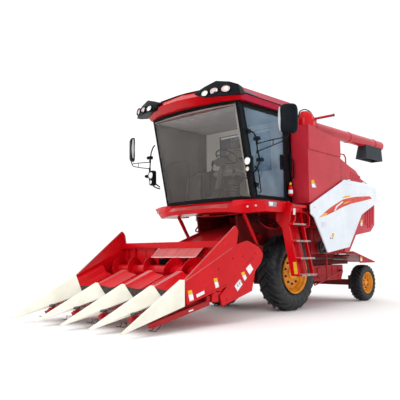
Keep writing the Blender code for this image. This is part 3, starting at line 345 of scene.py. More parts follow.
def tyre(name, node, body, size, side):
    # carcass with a nearly flat tread, then slanting lugs on both halves
    hub, half, bead, lug, count = size["hub"], size["half"], size["bead"], size["lug"], size["lugs"]
    centre = Vector((side * size["mid"], size["y"], hub))
    tread = hub - lug
    span = tread - bead
    wall = [(bead, 0.66 * half), (bead + 0.01, 0.74 * half)]
    swell = ((0.12, 0.84), (0.36, 0.97), (0.6, 1), (0.8, 0.965), (0.925, 0.87), (0.975, 0.74), (0.995, 0.4))
    wall += [(bead + up * span, out * half) for up, out in swell]
    lathe(wall + [(tread, 0)] + [(r, -w) for r, w in reversed(wall)], centre, "X", 72)
    for k in (0.17, 0.25):  # rings moulded on the wall by the bead
        r = bead + k * span
        w = half * (0.86 + 0.2 * (k - 0.12)) + 0.003
        for s in (-1, 1):
            tube([centre + Vector((s * w, c * r, d * r)) for c, d in circle(64)], 0.004, 5, closed=True)

    def place(angle, r, w):
        return centre + Vector((w, -sin(angle) * r, cos(angle) * r))

    shoulder = span / 0.27
    # each row of a lug: how far out, drop below the tread, how tall, how much it turns down the wall
    lugRows = [
        (-0.05, 0, 1, 0), (0.15, 0, 1, 0), (0.45, 0.001, 1, 0), (0.72, 0.006, 1, 0),
        (0.9, 0.03 * shoulder, 0.92, 0.45), (0.985, 0.115 * shoulder, 0.62, 0.92),
        (1, 0.155 * shoulder, 0.18, 1)]
    for s in (-1, 1):
        for n in range(count):
            base = 2 * pi * (n + (0.5 if s > 0 else 0)) / count
            rings = []
            for u, drop, up, tip in lugRows:
                r = tread - drop
                angle = base + size["slant"] * min(max(u, 0), 0.93) ** 1.12
                w = s * u * half
                high = min(r + lug * up * (1 - tip), hub)
                out = w + s * lug * 0.42 * up * tip
                wide = size["wide"] * (0.86 + 0.5 * max(u, 0)) / 2
                foot, root = w - s * 0.008 * tip, r - 0.012
                rings.append([place(angle - wide / r, root, foot), place(angle - wide * 0.72 / r, high, out),
                              place(angle + wide * 0.72 / r, high, out), place(angle + wide / r, root, foot)])
            skin(rings)
    piece(name, "tyreRubber", 0, (node,), angle=38, body=body)


def rim(name, node, body, size, side):
    y, hub, nut = size["y"], size["hub"], size["nut"]
    centre = Vector((0, y, hub))
    for part, sides in (("barrel", 64), ("disc", 64), ("cap", 40)):
        lathe([(r, side * w) for r, w in size[part]], centre, "X", sides)
    nutSide = [
        (0, 0.002), (nut * 1.35, 0.002), (nut * 1.3, 0.006), (nut, 0.007), (nut * 0.95, 0.024),
        (0.45 * nut, 0.026), (0.42 * nut, 0.036), (0, 0.037)]
    for n in range(size["nuts"]):
        a = 2 * pi * (n + 0.5) / size["nuts"]
        spot = centre + Vector((side * size["face"], cos(a) * size["circle"], sin(a) * size["circle"]))
        lathe([(r, side * w) for r, w in nutSide], spot, "X", 6, 1)
    if size["plate"]:  # a plain grey plate on the hub cap
        end, reach = size["cap"][-1][1], size["plate"]
        block((side * (end + 0.001), y - reach, hub - reach), (side * (end + 0.003), y + reach, hub + reach), 2)
    valve = [centre + Vector((side * (size["face"] - 0.01), 0, size["valve"])),
             centre + Vector((side * (size["face"] + 0.03), 0, size["valve"] + 0.012))]
    tube(valve, 0.006, 8, 1)
    piece(name, "rimYellow nutRed paleGrey", 0.0025, (node,), angle=30, body=body)


frontWheel = {
    "mid": 0.79, "y": 0, "hub": tyreHigh.z / 2, "half": 0.207, "lug": 0.04, "bead": 0.362, "lugs": 24,
    "slant": 0.3, "wide": 0.05, "nuts": 10, "circle": 0.205, "nut": 0.019, "face": 0.897, "valve": 0.26,
    "plate": 0.032,
    "barrel": [(0.372, 0.992), (0.38, 0.984), (0.376, 0.974), (0.358, 0.97), (0.348, 0.962), (0.344, 0.925),
        (0.326, 0.905), (0.312, 0.86), (0.308, 0.74), (0.344, 0.7), (0.348, 0.62), (0.376, 0.606),
        (0.372, 0.596), (0.342, 0.61), (0.336, 0.695), (0.3, 0.735), (0.3, 0.868), (0.318, 0.912),
        (0.336, 0.93), (0.34, 0.966), (0.352, 0.98)],
    "disc": [(0.306, 0.868), (0.3, 0.88), (0.285, 0.889), (0.262, 0.893), (0.25, 0.897), (0.15, 0.897),
        (0.14, 0.903), (0.118, 0.905), (0.118, 0.88), (0.25, 0.885), (0.285, 0.877), (0.3, 0.86)],
    "cap": [(0.122, 0.898), (0.118, 0.925), (0.11, 0.931), (0, 0.932)]}
rearWheel = {
    "mid": 0.91, "y": rearY, "hub": rearHigh.z / 2, "half": 0.132, "lug": 0.026, "bead": 0.222, "lugs": 24,
    "slant": 0.34, "wide": 0.034, "nuts": 6, "circle": 0.098, "nut": 0.012, "face": 0.963, "valve": 0.13,
    "plate": 0,
    "barrel": [(0.224, 1.034), (0.23, 1.028), (0.226, 1.02), (0.212, 1.016), (0.206, 1.008), (0.203, 0.985),
        (0.19, 0.97), (0.18, 0.95), (0.18, 0.87), (0.205, 0.84), (0.208, 0.8), (0.226, 0.79), (0.222, 0.782),
        (0.202, 0.792), (0.198, 0.835), (0.173, 0.866), (0.173, 0.955), (0.184, 0.975), (0.197, 0.99),
        (0.199, 1.012), (0.208, 1.025)],
    "disc": [(0.178, 0.925), (0.17, 0.94), (0.155, 0.952), (0.135, 0.961), (0.07, 0.964), (0.064, 0.97),
        (0.06, 0.97), (0.06, 0.955), (0.135, 0.953), (0.155, 0.943), (0.17, 0.93)],
    "cap": [(0.062, 0.962), (0.06, 0.985), (0.054, 0.992), (0, 0.993)]}
for side, word in ((1, "left"), (-1, "right")):
    for make, look, part in ((tyre, "lugged_tyre", "tyre"), (rim, "dished_rim", "rim")):
        for end, size in (("front", frontWheel), ("rear", rearWheel)):
            make(f"{look}_{end}_{word}", f"{end}_{part}_{word}", f"{end}_wheel_{word}", size, side)
print("wheels fitted")


# plain panels and castings that keep their CAD shape

plainNodes = [  # CAD nodes, finish, edge, slot
    ("chassis_frame", "chassisRed", 0.004, "dark_red_paint"),
    ("threshing_body", "bodyRed", 0.004, "dark_red_paint"),
    ("front_axle", "castGrey", 0.006, "dark_red_paint"),
    ("rear_axle", "chassisRed", 0.005, "dark_red_paint"),
    ("knuckle_left knuckle_right", "chassisRed", 0.003, "dark_red_paint"),
    ("tie_rod", "castGrey", 0.002, "grey_casting"),
    ("engine_block", "castGrey", 0.008, "grey_casting"),
    ("feeder_house", "bodyRed", 0.006, "dark_red_paint"),
    ("lift_barrel_left lift_barrel_right", "bodyRed", 0.003, "dark_red_paint"),
    ("lift_rod_left lift_rod_right", "brightSteel", 0.002, "bare_steel"),
    # the tank, hoods and unloading tube take the pinker red whose pink is a painted sky reflection
    ("grain_tank engine_hood", "sideRed", 0.01, "red_paint"),
    ("straw_hood", "sideRed", 0.008, "red_paint"),
    ("tail_deflector", "bodyRed", 0.003, "dark_red_paint"),
    ("unloading_elbow", "glossRed", 0.004, "red_paint"),
    ("unloading_tube", "sideRed", 0.003, "red_paint"),
    ("unloading_spout", "spoutRubber", 0.006, "spout_rubber"),
    ("header_frame", "glossRed", 0.003, "red_paint"),
    ("row_units", "bodyRed", 0.004, "dark_red_paint"),
    ("header_auger", "glossRed", 0.0015, "red_paint"),
    ("ladder", "glossRed", 0.003, "red_paint"),
    ("side_door_left side_door_right", "doorWhite", 0.01, "white_paint"),
]
for nodes, mat, bevel, slot in plainNodes:
    for node in nodes.split():
        dressed(node, mat, bevel)
# the roof's side faces, picked by their normals, take the darker red: painted shade
dressed("cab_roof", "glossRed roofRed", 0.012,
    tint=lambda f: int(abs(f.normal.x) > 0.3 and f.normal.y > -0.2))
for number in range(1, 6):
    dressed(f"snout_{number}", "snoutCream", 0.002, angle=25)
dressed("rear_window", "sideGlass", 0)
print("panels dressed")


# front fairing

# each station: inner top, shoulder, crest, lower lip, inner bottom
fairingStations = [
    ((0, -1.365, 1.899), (0, -1.46, 1.85), (0, -1.545, 1.79), (0, -1.53, 1.715), (0, -1.1, 1.715)),
    ((0.45, -1.345, 1.899), (0.45, -1.45, 1.848), (0.45, -1.538, 1.785), (0.45, -1.522, 1.71),
        (0.45, -1.08, 1.71)),
    ((0.68, -1.33, 1.899), (0.68, -1.44, 1.846), (0.7, -1.528, 1.768), (0.7, -1.505, 1.702),
        (0.68, -1.07, 1.702)),
    ((0.77, -1.32, 1.8992), (0.79, -1.475, 1.893), (0.8, -1.515, 1.784), (0.8, -1.49, 1.69),
        (0.77, -1.06, 1.7)),
    ((0.92, -1.28, 1.8992), (0.95, -1.43, 1.896), (0.99, -1.47, 1.826), (0.98, -1.42, 1.668),
        (0.92, -1.05, 1.7)),
    ((1.02, -1.22, 1.8992), (1.12, -1.34, 1.897), (1.205, -1.385, 1.86), (1.13, -1.3, 1.69),
        (1.02, -1.045, 1.7)),
    ((1.045, -1.15, 1.8992), (1.2, -1.21, 1.898), (1.262, -1.23, 1.866), (1.245, -1.17, 1.7),
        (1.045, -1.04, 1.7)),
    ((1.05, -0.9, 1.8992), (1.21, -0.9, 1.898), (1.264, -0.9, 1.87), (1.24, -0.88, 1.7), (1.05, -0.9, 1.705)),
    ((1.05, -0.622, 1.8992), (1.21, -0.622, 1.898), (1.262, -0.622, 1.872), (1.225, -0.622, 1.715),
        (1.05, -0.622, 1.72)),
]
skin([[(-x, y, z) for x, y, z in ring] for ring in reversed(fairingStations[1:])] + fairingStations)
for f in bm.faces:  # the upper slope gets the paler red: a painted highlight
    middle = f.calc_center_median()
    f.material_index = int(1.8 < middle.z < 1.89 and middle.y < -1.42 and abs(middle.x) < 0.72)
piece("bowed_fairing", "glossRed ridgeRed", 0.006, ("front_fairing",), angle=24)

for side in (1, -1):
    for x, y, z in ((1.055, -1.437, 1.772), (1.165, -1.362, 1.786)):
        way = Vector((side * 0.52, -0.8, -0.3)).normalized()
        a = way.cross(unit["Z"]).normalized()
        b = way.cross(a)
        lathe([(0, 0.012), (0.01, 0.011), (0.016, 0.006), (0.019, -0.006), (0, -0.006)], (side * x, y, z),
            (a, b, way), 16)
piece("fairing_studs", "pinkHaze")

sticker = [
    ([(1.2665, -1.165, 1.858), (1.2668, -0.93, 1.862), (1.2555, -0.93, 1.785), (1.2555, -1.135, 1.783)],
        0.0015),
    ([(1.269, -1.14, 1.853), (1.269, -1.03, 1.854), (1.259, -1.03, 1.795), (1.259, -1.12, 1.793)], 0.001)]
for mat, (quad, thick) in enumerate(sticker):
    skin([quad, [(x + thick, y, z) for x, y, z in quad]], mat)
piece("fairing_sticker", "signGrey signWhite")


# cab roof and its lamps

tube(eased([(-0.62, -1.775, 3.742), (0, -1.846, 3.746), (0.62, -1.775, 3.742)], 0.2), 0.012, 8)
for side in (1, -1):  # the gutter line and the seal under the roof's edge
    tube([(side * 1.143, -1.62, 3.597), (side * 1.104, -0.06, 3.597)], 0.007, 8)
    tube([(side * 1.075, -1.52, 3.497), (side * 1.062, -0.08, 3.497)], 0.01, 8)
tube(eased([(-1.06, -1.575, 3.497), (-0.7, -1.7, 3.497), (0, -1.755, 3.497), (0.7, -1.7, 3.497),
    (1.06, -1.575, 3.497)], 0.2), 0.01, 8)
piece("roof_seals", "rubberSeal")

for side in (1, -1):
    tri = [(side * 1.146, -1.655, 3.606), (side * 1.088, -1.59, 3.675), (side * 1.131, -1.17, 3.612)]
    skin([tri, [(x + side * 0.002, y, z + 0.002) for x, y, z in tri]])
piece("roof_corner_panel", "blueBlack")

lampPod = {  # rings round the pod's foot and crown, then place and radius of each lamp
    "low": [(0.44, -2, 3.615), (0.66, -2.03, 3.515), (0.9, -2.02, 3.5), (1.1, -1.93, 3.495),
        (1.205, -1.76, 3.53), (1.19, -1.6, 3.56), (0.9, -1.56, 3.56), (0.5, -1.74, 3.6)],
    "high": [(0.42, -1.985, 3.655), (0.62, -1.96, 3.73), (0.82, -1.905, 3.8), (1.05, -1.84, 3.752),
        (1.15, -1.74, 3.71), (1.12, -1.6, 3.7), (0.86, -1.6, 3.765), (0.5, -1.78, 3.7)],
    "lamps": [(0.67, -1.99, 3.592, 0.06), (0.85, -1.97, 3.602, 0.064), (1.04, -1.905, 3.612, 0.066)]}
for side, word in ((1, "left"), (-1, "right")):
    middle = [[(a + b) / 2 for a, b in zip(p, q)] for p, q in zip(lampPod["low"], lampPod["high"])]
    waist = [(x, y - (0.018 if y < -1.8 else 0), z) for x, y, z in middle]
    skin([[(side * x, y, z) for x, y, z in ring] for ring in (lampPod["low"], waist, lampPod["high"])])
    piece("roof_pod_" + word, "blackPlastic", 0.014, ("roof_light_" + word,), angle=28,
        steps=3)
    # lenses: a bezel, a deep dish, and a ribbed glass
    for k, (x, y, z, r) in enumerate(lampPod["lamps"]):
        way = Vector((side * (0.05 + 0.17 * k), -1, 0.1)).normalized()
        a = Vector((way.y, -way.x, 0)).normalized()
        b = way.cross(a)
        spot = Vector((side * x, y - 0.02, z))
        oval = (a * 1.16, b * 0.86, way)
        lathe([(r * 1.22, -0.03), (r * 1.22, 0.016), (r * 1.12, 0.022), (r * 1.02, 0.012), (r, -0.03)], spot,
            oval, 28, 1)
        lens = [(0, 0.015), (r * 0.3, 0.0145), (r * 0.34, 0.011), (r * 0.6, 0.009), (r * 0.64, 0.012),
            (r * 0.94, 0.006), (r, -0.01), (0, -0.012)]
        lathe(lens, spot, oval, 28, 2 if k else 0)
        # a bar across the glass
        tube([spot + a * (s * r * 0.9) + way * 0.016 - b * 0.006 for s in (-1, 1)], 0.003, 6)
    piece("pod_lamps_" + word, "lampGlass blackPlastic lampPink", angle=40)


# the cab's shell: slim posts and rails round large panes, with a closed rear wall and floor

def screenAt(x, z, proud=0):
    # a point on the windscreen's outer face
    t = (z - 1.9) / 1.6
    foot, head = -1.24, -1.6
    bow = 0.12 * (1 - (x / 1.03) ** 2)
    return (x, foot + (head - foot) * t - bow - proud, z)


cabSize = {"half": 1.03, "back": -0.12, "floor": 1.9003, "head": 3.4995, "post": 0.042, "doorBack": -0.32}
half, back, post = cabSize["half"], cabSize["back"], cabSize["post"]
acrossX = [half - 2 * half * k / 14 for k in range(15)]


def bowedRail(low, high, deep):
    # a rail that follows the bowed front between two heights
    rings = []
    for x in acrossX:
        a, b = screenAt(x, low), screenAt(x, high)
        rings.append([a, b, (b[0], b[1] + deep, b[2]), (a[0], a[1] + deep, a[2])])
    skin(rings)


for low, high in ((cabSize["floor"], 1.95), (3.47, cabSize["head"])):
    bowedRail(low, high, 0.055)
plan = [(x, screenAt(x, 1.92)[1] + 0.02) for x in acrossX]
plan = [(-half, back), (half, back)] + plan
skin([[(x, y, z) for x, y in plan] for z in (cabSize["floor"] + 0.002, 1.9495)])
for side in (1, -1):
    # front post, rail over the door, sill, rear post and rear side panel
    rings = []
    for z in (1.94, 2.45, 2.95, 3.475):
        (x0, y0, _), (x1, y1, _) = screenAt(side * (half - post), z), screenAt(side * half, z)
        rings.append([(x0, y0, z), (x1, y1, z), (x1, y1 + 0.094, z), (x0, y0 + 0.08, z)])
    skin(rings)
    inner, outer = side * (half - 0.045), side * half
    for z0, z1 in ((1.94, 1.955), (3.448, cabSize["head"])):
        block((inner, screenAt(half, z0)[1] + 0.03, z0), (outer, back, z1))
    block((inner, cabSize["doorBack"], 1.95), (outer, back, 3.46))
rearWall = ((-half, 1.945, half, 2.545), (-half, 3.325, half, cabSize["head"]), (-half, 2.54, -0.625, 3.33),
    (0.625, 2.54, half, 3.33))
for x0, z0, x1, z1 in rearWall:
    block((x0, back - 0.045, z0), (x1, back, z1))
piece("cab_shell", "blackSteel", 0.005, ("cab_frame",))

# windscreen, a bowed pane just inside the posts
rings = []
for x in [v * (half - 0.04) / half for v in acrossX]:
    lo, hi = screenAt(x, 1.952, -0.002), screenAt(x, 3.468, -0.002)
    rings.append([lo, hi, (hi[0], hi[1] + 0.008, hi[2]), (lo[0], lo[1] + 0.008, lo[2])])
skin(rings)
piece("bowed_screen", "screenGlass", 0, ("windscreen",))

# the seal round it and the paler printed edge at the top and the left
reach = half - 0.046
ring = [(reach, 1.958), (reach, 3.462)] + [(x * 0.955, 3.462) for x in acrossX[1:-1]]
ring += [(-x, z) for x, z in ring[1::-1]] + [(x * 0.955, 1.958) for x in acrossX[-2:0:-1]]
tube([screenAt(x, z, 0.003) for x, z in ring], 0.008, 6, closed=True)
piece("screen_seal", "rubberSeal")
bands = [[(0.972, 1.99), (0.972, 3.448), (0.938, 3.43), (0.955, 1.99)]]
for k in range(14):
    left, right = 0.972 - 0.1388 * k, 0.972 - 0.1388 * (k + 1)
    bands.append([(left, 3.448), (right, 3.448), (right, 3.428), (left, 3.428)])
for quad in bands:
    skin([[screenAt(x, z, proud) for x, z in quad] for proud in (0.0005, 0.0015)])
piece("screen_band", "screenBand")

# door and right side window: a thin frame with a large pane
sideLow, sideHigh = 1.958, 3.442
frontLow, frontHigh = screenAt(half, sideLow)[1] + 0.101, screenAt(half, sideHigh)[1] + 0.101
backEdge = cabSize["doorBack"] - 0.008
outerEdge = [(frontLow, sideLow), (backEdge, sideLow), (backEdge, sideHigh), (frontHigh, sideHigh)]
innerEdge = [(frontLow + 0.02, sideLow + 0.034), (backEdge - 0.032, sideLow + 0.034),
    (backEdge - 0.032, sideHigh - 0.032), (frontHigh + 0.026, sideHigh - 0.032)]
for side, body, word in ((1, "cab_door", "door"), (-1, "machine", "right_window")):
    a, b = side * (half - 0.03), side * (half + 0.005)
    loops = ((a, outerEdge), (b, outerEdge), (b, innerEdge), (a, innerEdge))
    skin([[(x, y, z) for y, z in path] for x, path in loops], loop=True)
    piece("slim_frame_" + word, "blackSteel", 0.004, ("cab_door",) if side > 0 else (),
        body=body)
    lap = 0.004  # the pane sits this far inside its frame
    pane = [(y + d * lap, z + e * lap) for (y, z), d, e in zip(innerEdge, (-1, 1, 1, -1), (-1, -1, 1, 1))]
    slab("X", pane, side * (half - 0.01), side * (half - 0.004))
    # the right window's pane is nearly opaque and dark: painted shade
    mat, node = ("sideGlass", "cab_door_glass") if side > 0 else ("smokeGlass", "right_window")
    piece("pane_" + word, mat, 0, (node,), body=body)

# handles, lock and hinges on the door
block((1.03, -0.47, 2.48), (1.052, -0.36, 2.74))
tube(eased([(1.048, -0.4, 2.7), (1.08, -0.4, 2.7), (1.08, -0.4, 2.55), (1.048, -0.4, 2.55)], 0.02), 0.01, 8)
for z in (2.15, 3.02):
    y = -1.153 - (z - 1.958) * 0.225
    tube([(1.05, y + 0.01, z - 0.05), (1.05, y - 0.012, z + 0.05)], 0.011, 10)
    block((1.0357, y + 0.02, z - 0.035), (1.046, y + 0.09, z + 0.035))
piece("door_furniture", "blackPlastic", 0.004, body="cab_door")

mirror = {"at": (1.862, -1.4, 3.085), "wide": 0.14, "tall": 0.235, "turn": (0.84, 0.545)}
(mirrorX, mirrorY, mirrorZ), (turnX, turnY) = mirror["at"], mirror["turn"]
for side, word in ((1, "left"), (-1, "right")):
    # pillar lamp: housing, big lens and the small one under it
    block((1.09, -1.545, 2.3), (1.215, -1.44, 2.585))
    piece("pillar_lamp_box_" + word, "blackPlastic", 0.035, steps=4, flip=side < 0)
    for x, z, r in ((1.152, 2.49, 0.062), (1.152, 2.362, 0.038)):
        lathe([(r + 0.009, 1.53), (r + 0.009, 1.553), (r + 0.003, 1.558), (r, 1.55), (r, 1.53)], (x, 0, z),
            facingFront, 28, 1)
        lathe([(0, 1.562), (r * 0.4, 1.56), (r * 0.8, 1.555), (r, 1.546), (0, 1.54)], (x, 0, z), facingFront,
            28)
        tube([(x - r * 0.85, -1.563, z), (x + r * 0.85, -1.563, z)], 0.003, 6)
    lathe([(0, 1.565), (0.012, 1.564), (0.014, 1.555), (0, 1.55)], (1.152, 0, 2.375), facingFront, 12, 2)
    tube([(1.1, -1.47, 2.33), (1.036, -1.42, 2.27)], 0.012, 8, 1)
    piece("pillar_lamp_" + word, "lampGlass blackPlastic signYellow", flip=side < 0)
    # bent bracket with its two clamps, the twin arm and the upright
    bracket = eased([(1.033, -1.55, 3.04), (1.13, -1.51, 3.02), (1.245, -1.455, 2.93), (1.262, -1.45, 2.84),
        (1.285, -1.445, 2.66), (1.31, -1.44, 2.56), (1.318, -1.44, 2.46), (1.26, -1.45, 2.36),
        (1.15, -1.44, 2.27), (1.033, -1.42, 2.235)], 0.05)
    tube(bracket, 0.0125, 10)
    for x, z in ((1.262, 2.848), (1.316, 2.498)):
        block((x - 0.032, -1.482, z - 0.028), (x + 0.062, -1.418, z + 0.028))
        tube([(x + 0.045, -1.5, z), (x + 0.045, -1.41, z)], 0.018, 10)
    for z in (2.78, 2.63):
        tube([(1.275 + (2.78 - z) * 0.05, -1.45, z + 0.025), (1.277 + (2.78 - z) * 0.05, -1.45, z - 0.025)],
            0.019, 10)
    tube(eased([(1.275, -1.45, 2.765), (1.6, -1.455, 2.785), (1.858, -1.425, 2.8), (1.866, -1.415, 3.14)],
        0.04), 0.0085, 8, 1)
    tube(eased([(1.283, -1.45, 2.64), (1.56, -1.455, 2.69), (1.8, -1.435, 2.745), (1.862, -1.425, 2.83)], 0.06),
        0.0085, 8, 1)
    tube([(1.6, -1.462, 2.782), (1.6, -1.462, 2.698)], 0.006, 6, 1)
    lathe([(0, -0.012), (0.024, -0.01), (0.026, 0), (0.022, 0.012), (0, 0.014)], (1.866, -1.43, 3.12), "Y", 14)
    # the head: a rounded shell, deeper in the middle, with its glass to the rear
    rows = []
    for depth, grow in ((-0.052, 0.45), (-0.048, 0.68), (-0.036, 0.86), (-0.016, 0.96), (0.01, 1), (0.03, 1),
            (0.036, 0.97)):
        row = []
        for c, s in circle(32):
            across = copysign(abs(c) ** 0.5, c) * mirror["wide"] * grow
            up = copysign(abs(s) ** 0.42, s) * mirror["tall"] * (1 - (1 - grow) * 0.5)
            row.append((mirrorX + across * turnX - depth * turnY, mirrorY + across * turnY + depth * turnX,
                mirrorZ + up))
        rows.append(row)
    skin(rows)
    last = rows[-1]
    midX, midY = sum(p[0] for p in last) / 32, sum(p[1] for p in last) / 32
    glass = [(midX + (x - midX) * 0.92, midY + (y - midY) * 0.92, mirrorZ + (z - mirrorZ) * 0.95)
             for x, y, z in last]
    skin([[(x - out * turnY, y + out * turnX, z) for x, y, z in glass] for out in (0.0005, 0.003)], 2)
    # a pale grey strip on the inner edge: a painted highlight
    inward = mirror["wide"] * 0.99
    paintedHighlightEdge = [(mirrorX - inward * turnX, mirrorY - inward * turnY,
        mirrorZ + mirror["tall"] * 0.8 * (k / 4 - 1)) for k in range(9)]
    tube(paintedHighlightEdge, [0.01 + 0.02 * sin(pi * k / 8) for k in range(9)], 10, 3)
    piece("mirror_and_arm_" + word, "blackPlastic blackSteel mirrorFace paleGrey", 0,
        ("mirror_" + word,), angle=40, flip=side < 0)

# grab handle, fire extinguisher and lock box on the left rear pillar
tube(eased([(1.03, -0.13, 2.36), (1.085, -0.13, 2.36), (1.085, -0.13, 2.68), (1.03, -0.13, 2.68)], 0.03), 0.012,
    10)
tube(eased([(1.03, -1.07, 2.02), (1.075, -1.09, 2.04), (1.075, -1.16, 2.4), (1.03, -1.19, 2.46)], 0.03), 0.01,
    10)
block((1.031, -0.2, 2.46), (1.06, -0.155, 2.78))
piece("pillar_handles", "blackPlastic", 0.004)
lathe([(0, 2.02), (0.036, 2.022), (0.04, 2.03), (0.04, 2.17), (0.036, 2.195), (0.018, 2.21), (0.014, 2.22),
    (0, 2.222)], (1.078, -0.235, 0), "Z", 24)
lathe([(0.041, 2.06), (0.0415, 2.062), (0.0415, 2.128), (0.041, 2.13)], (1.078, -0.235, 0), "Z", 24, 1)
lathe([(0, 2.22), (0.02, 2.222), (0.022, 2.25), (0.012, 2.262), (0, 2.264)], (1.078, -0.235, 0), "Z", 12, 2)
tube(eased([(1.078, -0.225, 2.255), (1.088, -0.19, 2.25), (1.106, -0.185, 2.18), (1.11, -0.19, 2.05)], 0.03),
    0.006, 6, 3)
block((1.031, -0.262, 2.08), (1.048, -0.208, 2.16), 3)
piece("fire_extinguisher", "glossRed signWhite signYellow rubberSeal", 0.002)


# inside the cab

def cushion(name, low, high, swaps=(), crown=0.03, panels=3, tilt=0, about=(0, 0, 0)):
    # a crowned, seamed pad: pulled in along its welt and between its sewn channels
    nx, ny = 22, 18
    lx, ly, lz = low
    hx, hy, hz = high
    grids = []
    for top in (1, 0):
        grid = []
        for j in range(ny + 1):
            row = []
            for i in range(nx + 1):
                u, v = i / nx * 2 - 1, j / ny * 2 - 1
                edge = (1 - abs(u) ** 6) * (1 - abs(v) ** 6)
                pull = 1 - 0.03 * (1 - (1 - abs(u) ** 4) * (1 - abs(v) ** 4))
                x = (lx + hx) / 2 + (hx - lx) / 2 * copysign(abs(u) ** 0.9, u) * pull
                y = (ly + hy) / 2 + (hy - ly) / 2 * copysign(abs(v) ** 0.9, v) * pull
                channel = 0.006 * max(0, cos(pi * panels * (v + 1))) ** 6
                bolster = 0.02 * exp(-((abs(u) - 0.8) / 0.16) ** 2)
                if i in (0, nx) or j in (0, ny):  # the welt
                    z = (lz + hz) / 2 + (0.012 if top else -0.012)
                elif top:
                    z = hz - 0.022 + (crown * 0.45 + bolster - channel) * edge
                else:
                    z = lz + 0.012 * (1 - edge)
                row.append(bm.verts.new((x, y, z)))
            grid.append(row)
        grids.append(grid)
    for top, grid in zip((1, 0), grids):
        for j in range(ny):
            for i in range(nx):
                q = (grid[j][i], grid[j][i + 1], grid[j + 1][i + 1], grid[j + 1][i])
                bm.faces.new(q if top else q[::-1])
    a, b = [g[0] + [r[-1] for r in g[1:]] + g[-1][-2::-1] + [r[0] for r in g[-2:0:-1]] for g in grids]
    for k in range(len(a)):
        j = (k + 1) % len(a)
        bm.faces.new((a[k], a[j], b[j], b[k]))
    if tilt:
        away = Matrix.Translation(about)
        bm.transform(away @ Matrix.Rotation(tilt, 4, "X") @ away.inverted())
    pad = piece(name, "seatCloth", 0, swaps, angle=180, rounds=1)
    return pad


def octagon(x, y, z, wide, deep, cutX, cutY):
    corners = ((-1, -cutY), (-cutX, -1), (cutX, -1), (1, -cutY), (1, cutY), (cutX, 1), (-cutX, 1), (-1, cutY))
    return [(x + p * wide, y + q * deep, z) for p, q in corners]


seat = {"lift": 0.12, "backTilt": 82, "headTilt": 84, "headSpot": (0.062, 0.63)}
lift, (headY, headZ) = seat["lift"], seat["headSpot"]
cushion("seat_cushion", (-0.25, -0.825, 2.315 + lift), (0.25, -0.355, 2.425 + lift), ("driver_seat",), panels=2)
cushion("seat_back", (-0.24, -0.43, 2.4 + lift), (0.24, 0.05, 2.49 + lift), tilt=radians(seat["backTilt"]),
    about=(0, -0.43, 2.4 + lift))
headrest = cushion("seat_headrest", (-0.135, -0.43, 2.4), (0.135, -0.27, 2.47), crown=0.02, panels=1,
    tilt=radians(seat["headTilt"]), about=(0, -0.43, 2.4))
headrest.location = (0, axleY + headY, headZ)
for side in (1, -1):
    tube(eased([(side * 0.235, -0.37, 2.48), (side * 0.3, -0.39, 2.54), (side * 0.305, -0.41, 2.68),
        (side * 0.305, -0.69, 2.72)], 0.05), 0.014, 8)
    tube([(side * 0.305, -0.49, 2.732), (side * 0.305, -0.69, 2.738)], 0.026, 10)
    tube([(side * 0.05, -0.375, 2.97), (side * 0.05, -0.365, 3.08)], 0.008, 8)
rows = []
for z, w, d in ((1.955, 0.19, 0.17), (2, 0.18, 0.16), (2.12, 0.12, 0.11), (2.3, 0.12, 0.11), (2.4, 0.19, 0.18),
        (2.435, 0.21, 0.2)):
    rows.append(octagon(0, -0.55, z, w, d, 0.8, 0.8))
skin(rows)
piece("seat_frame", "blackPlastic", 0.004)

# steering wheel on its column, drawn level and then tipped
steering = {"hub": (0.08, -0.79, 2.78), "tip": -30, "radius": 0.205, "bar": 0.0135}
tip = Matrix.Translation(steering["hub"]) @ Matrix.Rotation(radians(steering["tip"]), 4, "X")
tube([tip @ Vector((steering["radius"] * c, steering["radius"] * s, 0)) for c, s in circle(40)],
    steering["bar"], 10, closed=True)
for turn in (90, 210, 330):
    c, s = cos(radians(turn)), sin(radians(turn))
    spoke = [tip @ Vector((r * c, r * s, z)) for r, z in ((0.03, -0.018), (0.12, -0.012), (0.2, 0))]
    tube(spoke, [0.016, 0.012, 0.009], 8)
way = tuple(tip.to_3x3() @ unit[axis] for axis in "XYZ")
lathe([(0, 0.016), (0.03, 0.014), (0.044, 0.004), (0.046, -0.03), (0.03, -0.05), (0, -0.052)], steering["hub"],
    way, 24)
tube([(0.05, -1.05, 1.957), (0.055, -1.01, 2.2), (0.065, -0.93, 2.5), (0.075, -0.82, 2.74)],
    [0.075, 0.062, 0.048, 0.04], 16, 1)
for k in range(7):  # the rubber boot's folds
    z = 2.02 + 0.022 * k
    lathe([(0.066, -0.008), (0.078, 0), (0.066, 0.008), (0.05, 0)], (0.05, -1.045 + 0.003 * k, z), "Z", 20)
block((-0.1, -1.13, 1.957), (0.18, -0.97, 2.02), 1)
for k in range(6):  # vents stacked beside the column
    block((0.3, -1.02 - 0.004 * k, 1.985 + 0.052 * k), (0.44, -0.9, 2.01 + 0.052 * k))
block((0.31, -0.99, 1.957), (0.43, -0.91, 2.3), 1)
rows = []
for t, w, d in ((0, 0.1, 0.03), (0.04, 0.12, 0.045), (0.1, 0.115, 0.04), (0.115, 0.09, 0.02)):
    rows.append(octagon(0.07, -0.93 - t * 0.5, 2.6 + t, w, d, 0.7, 0.6))
skin(rows, 1)
piece("steering_wheel", "blackPlastic cabDark", 0, ("steering_column",), angle=40)

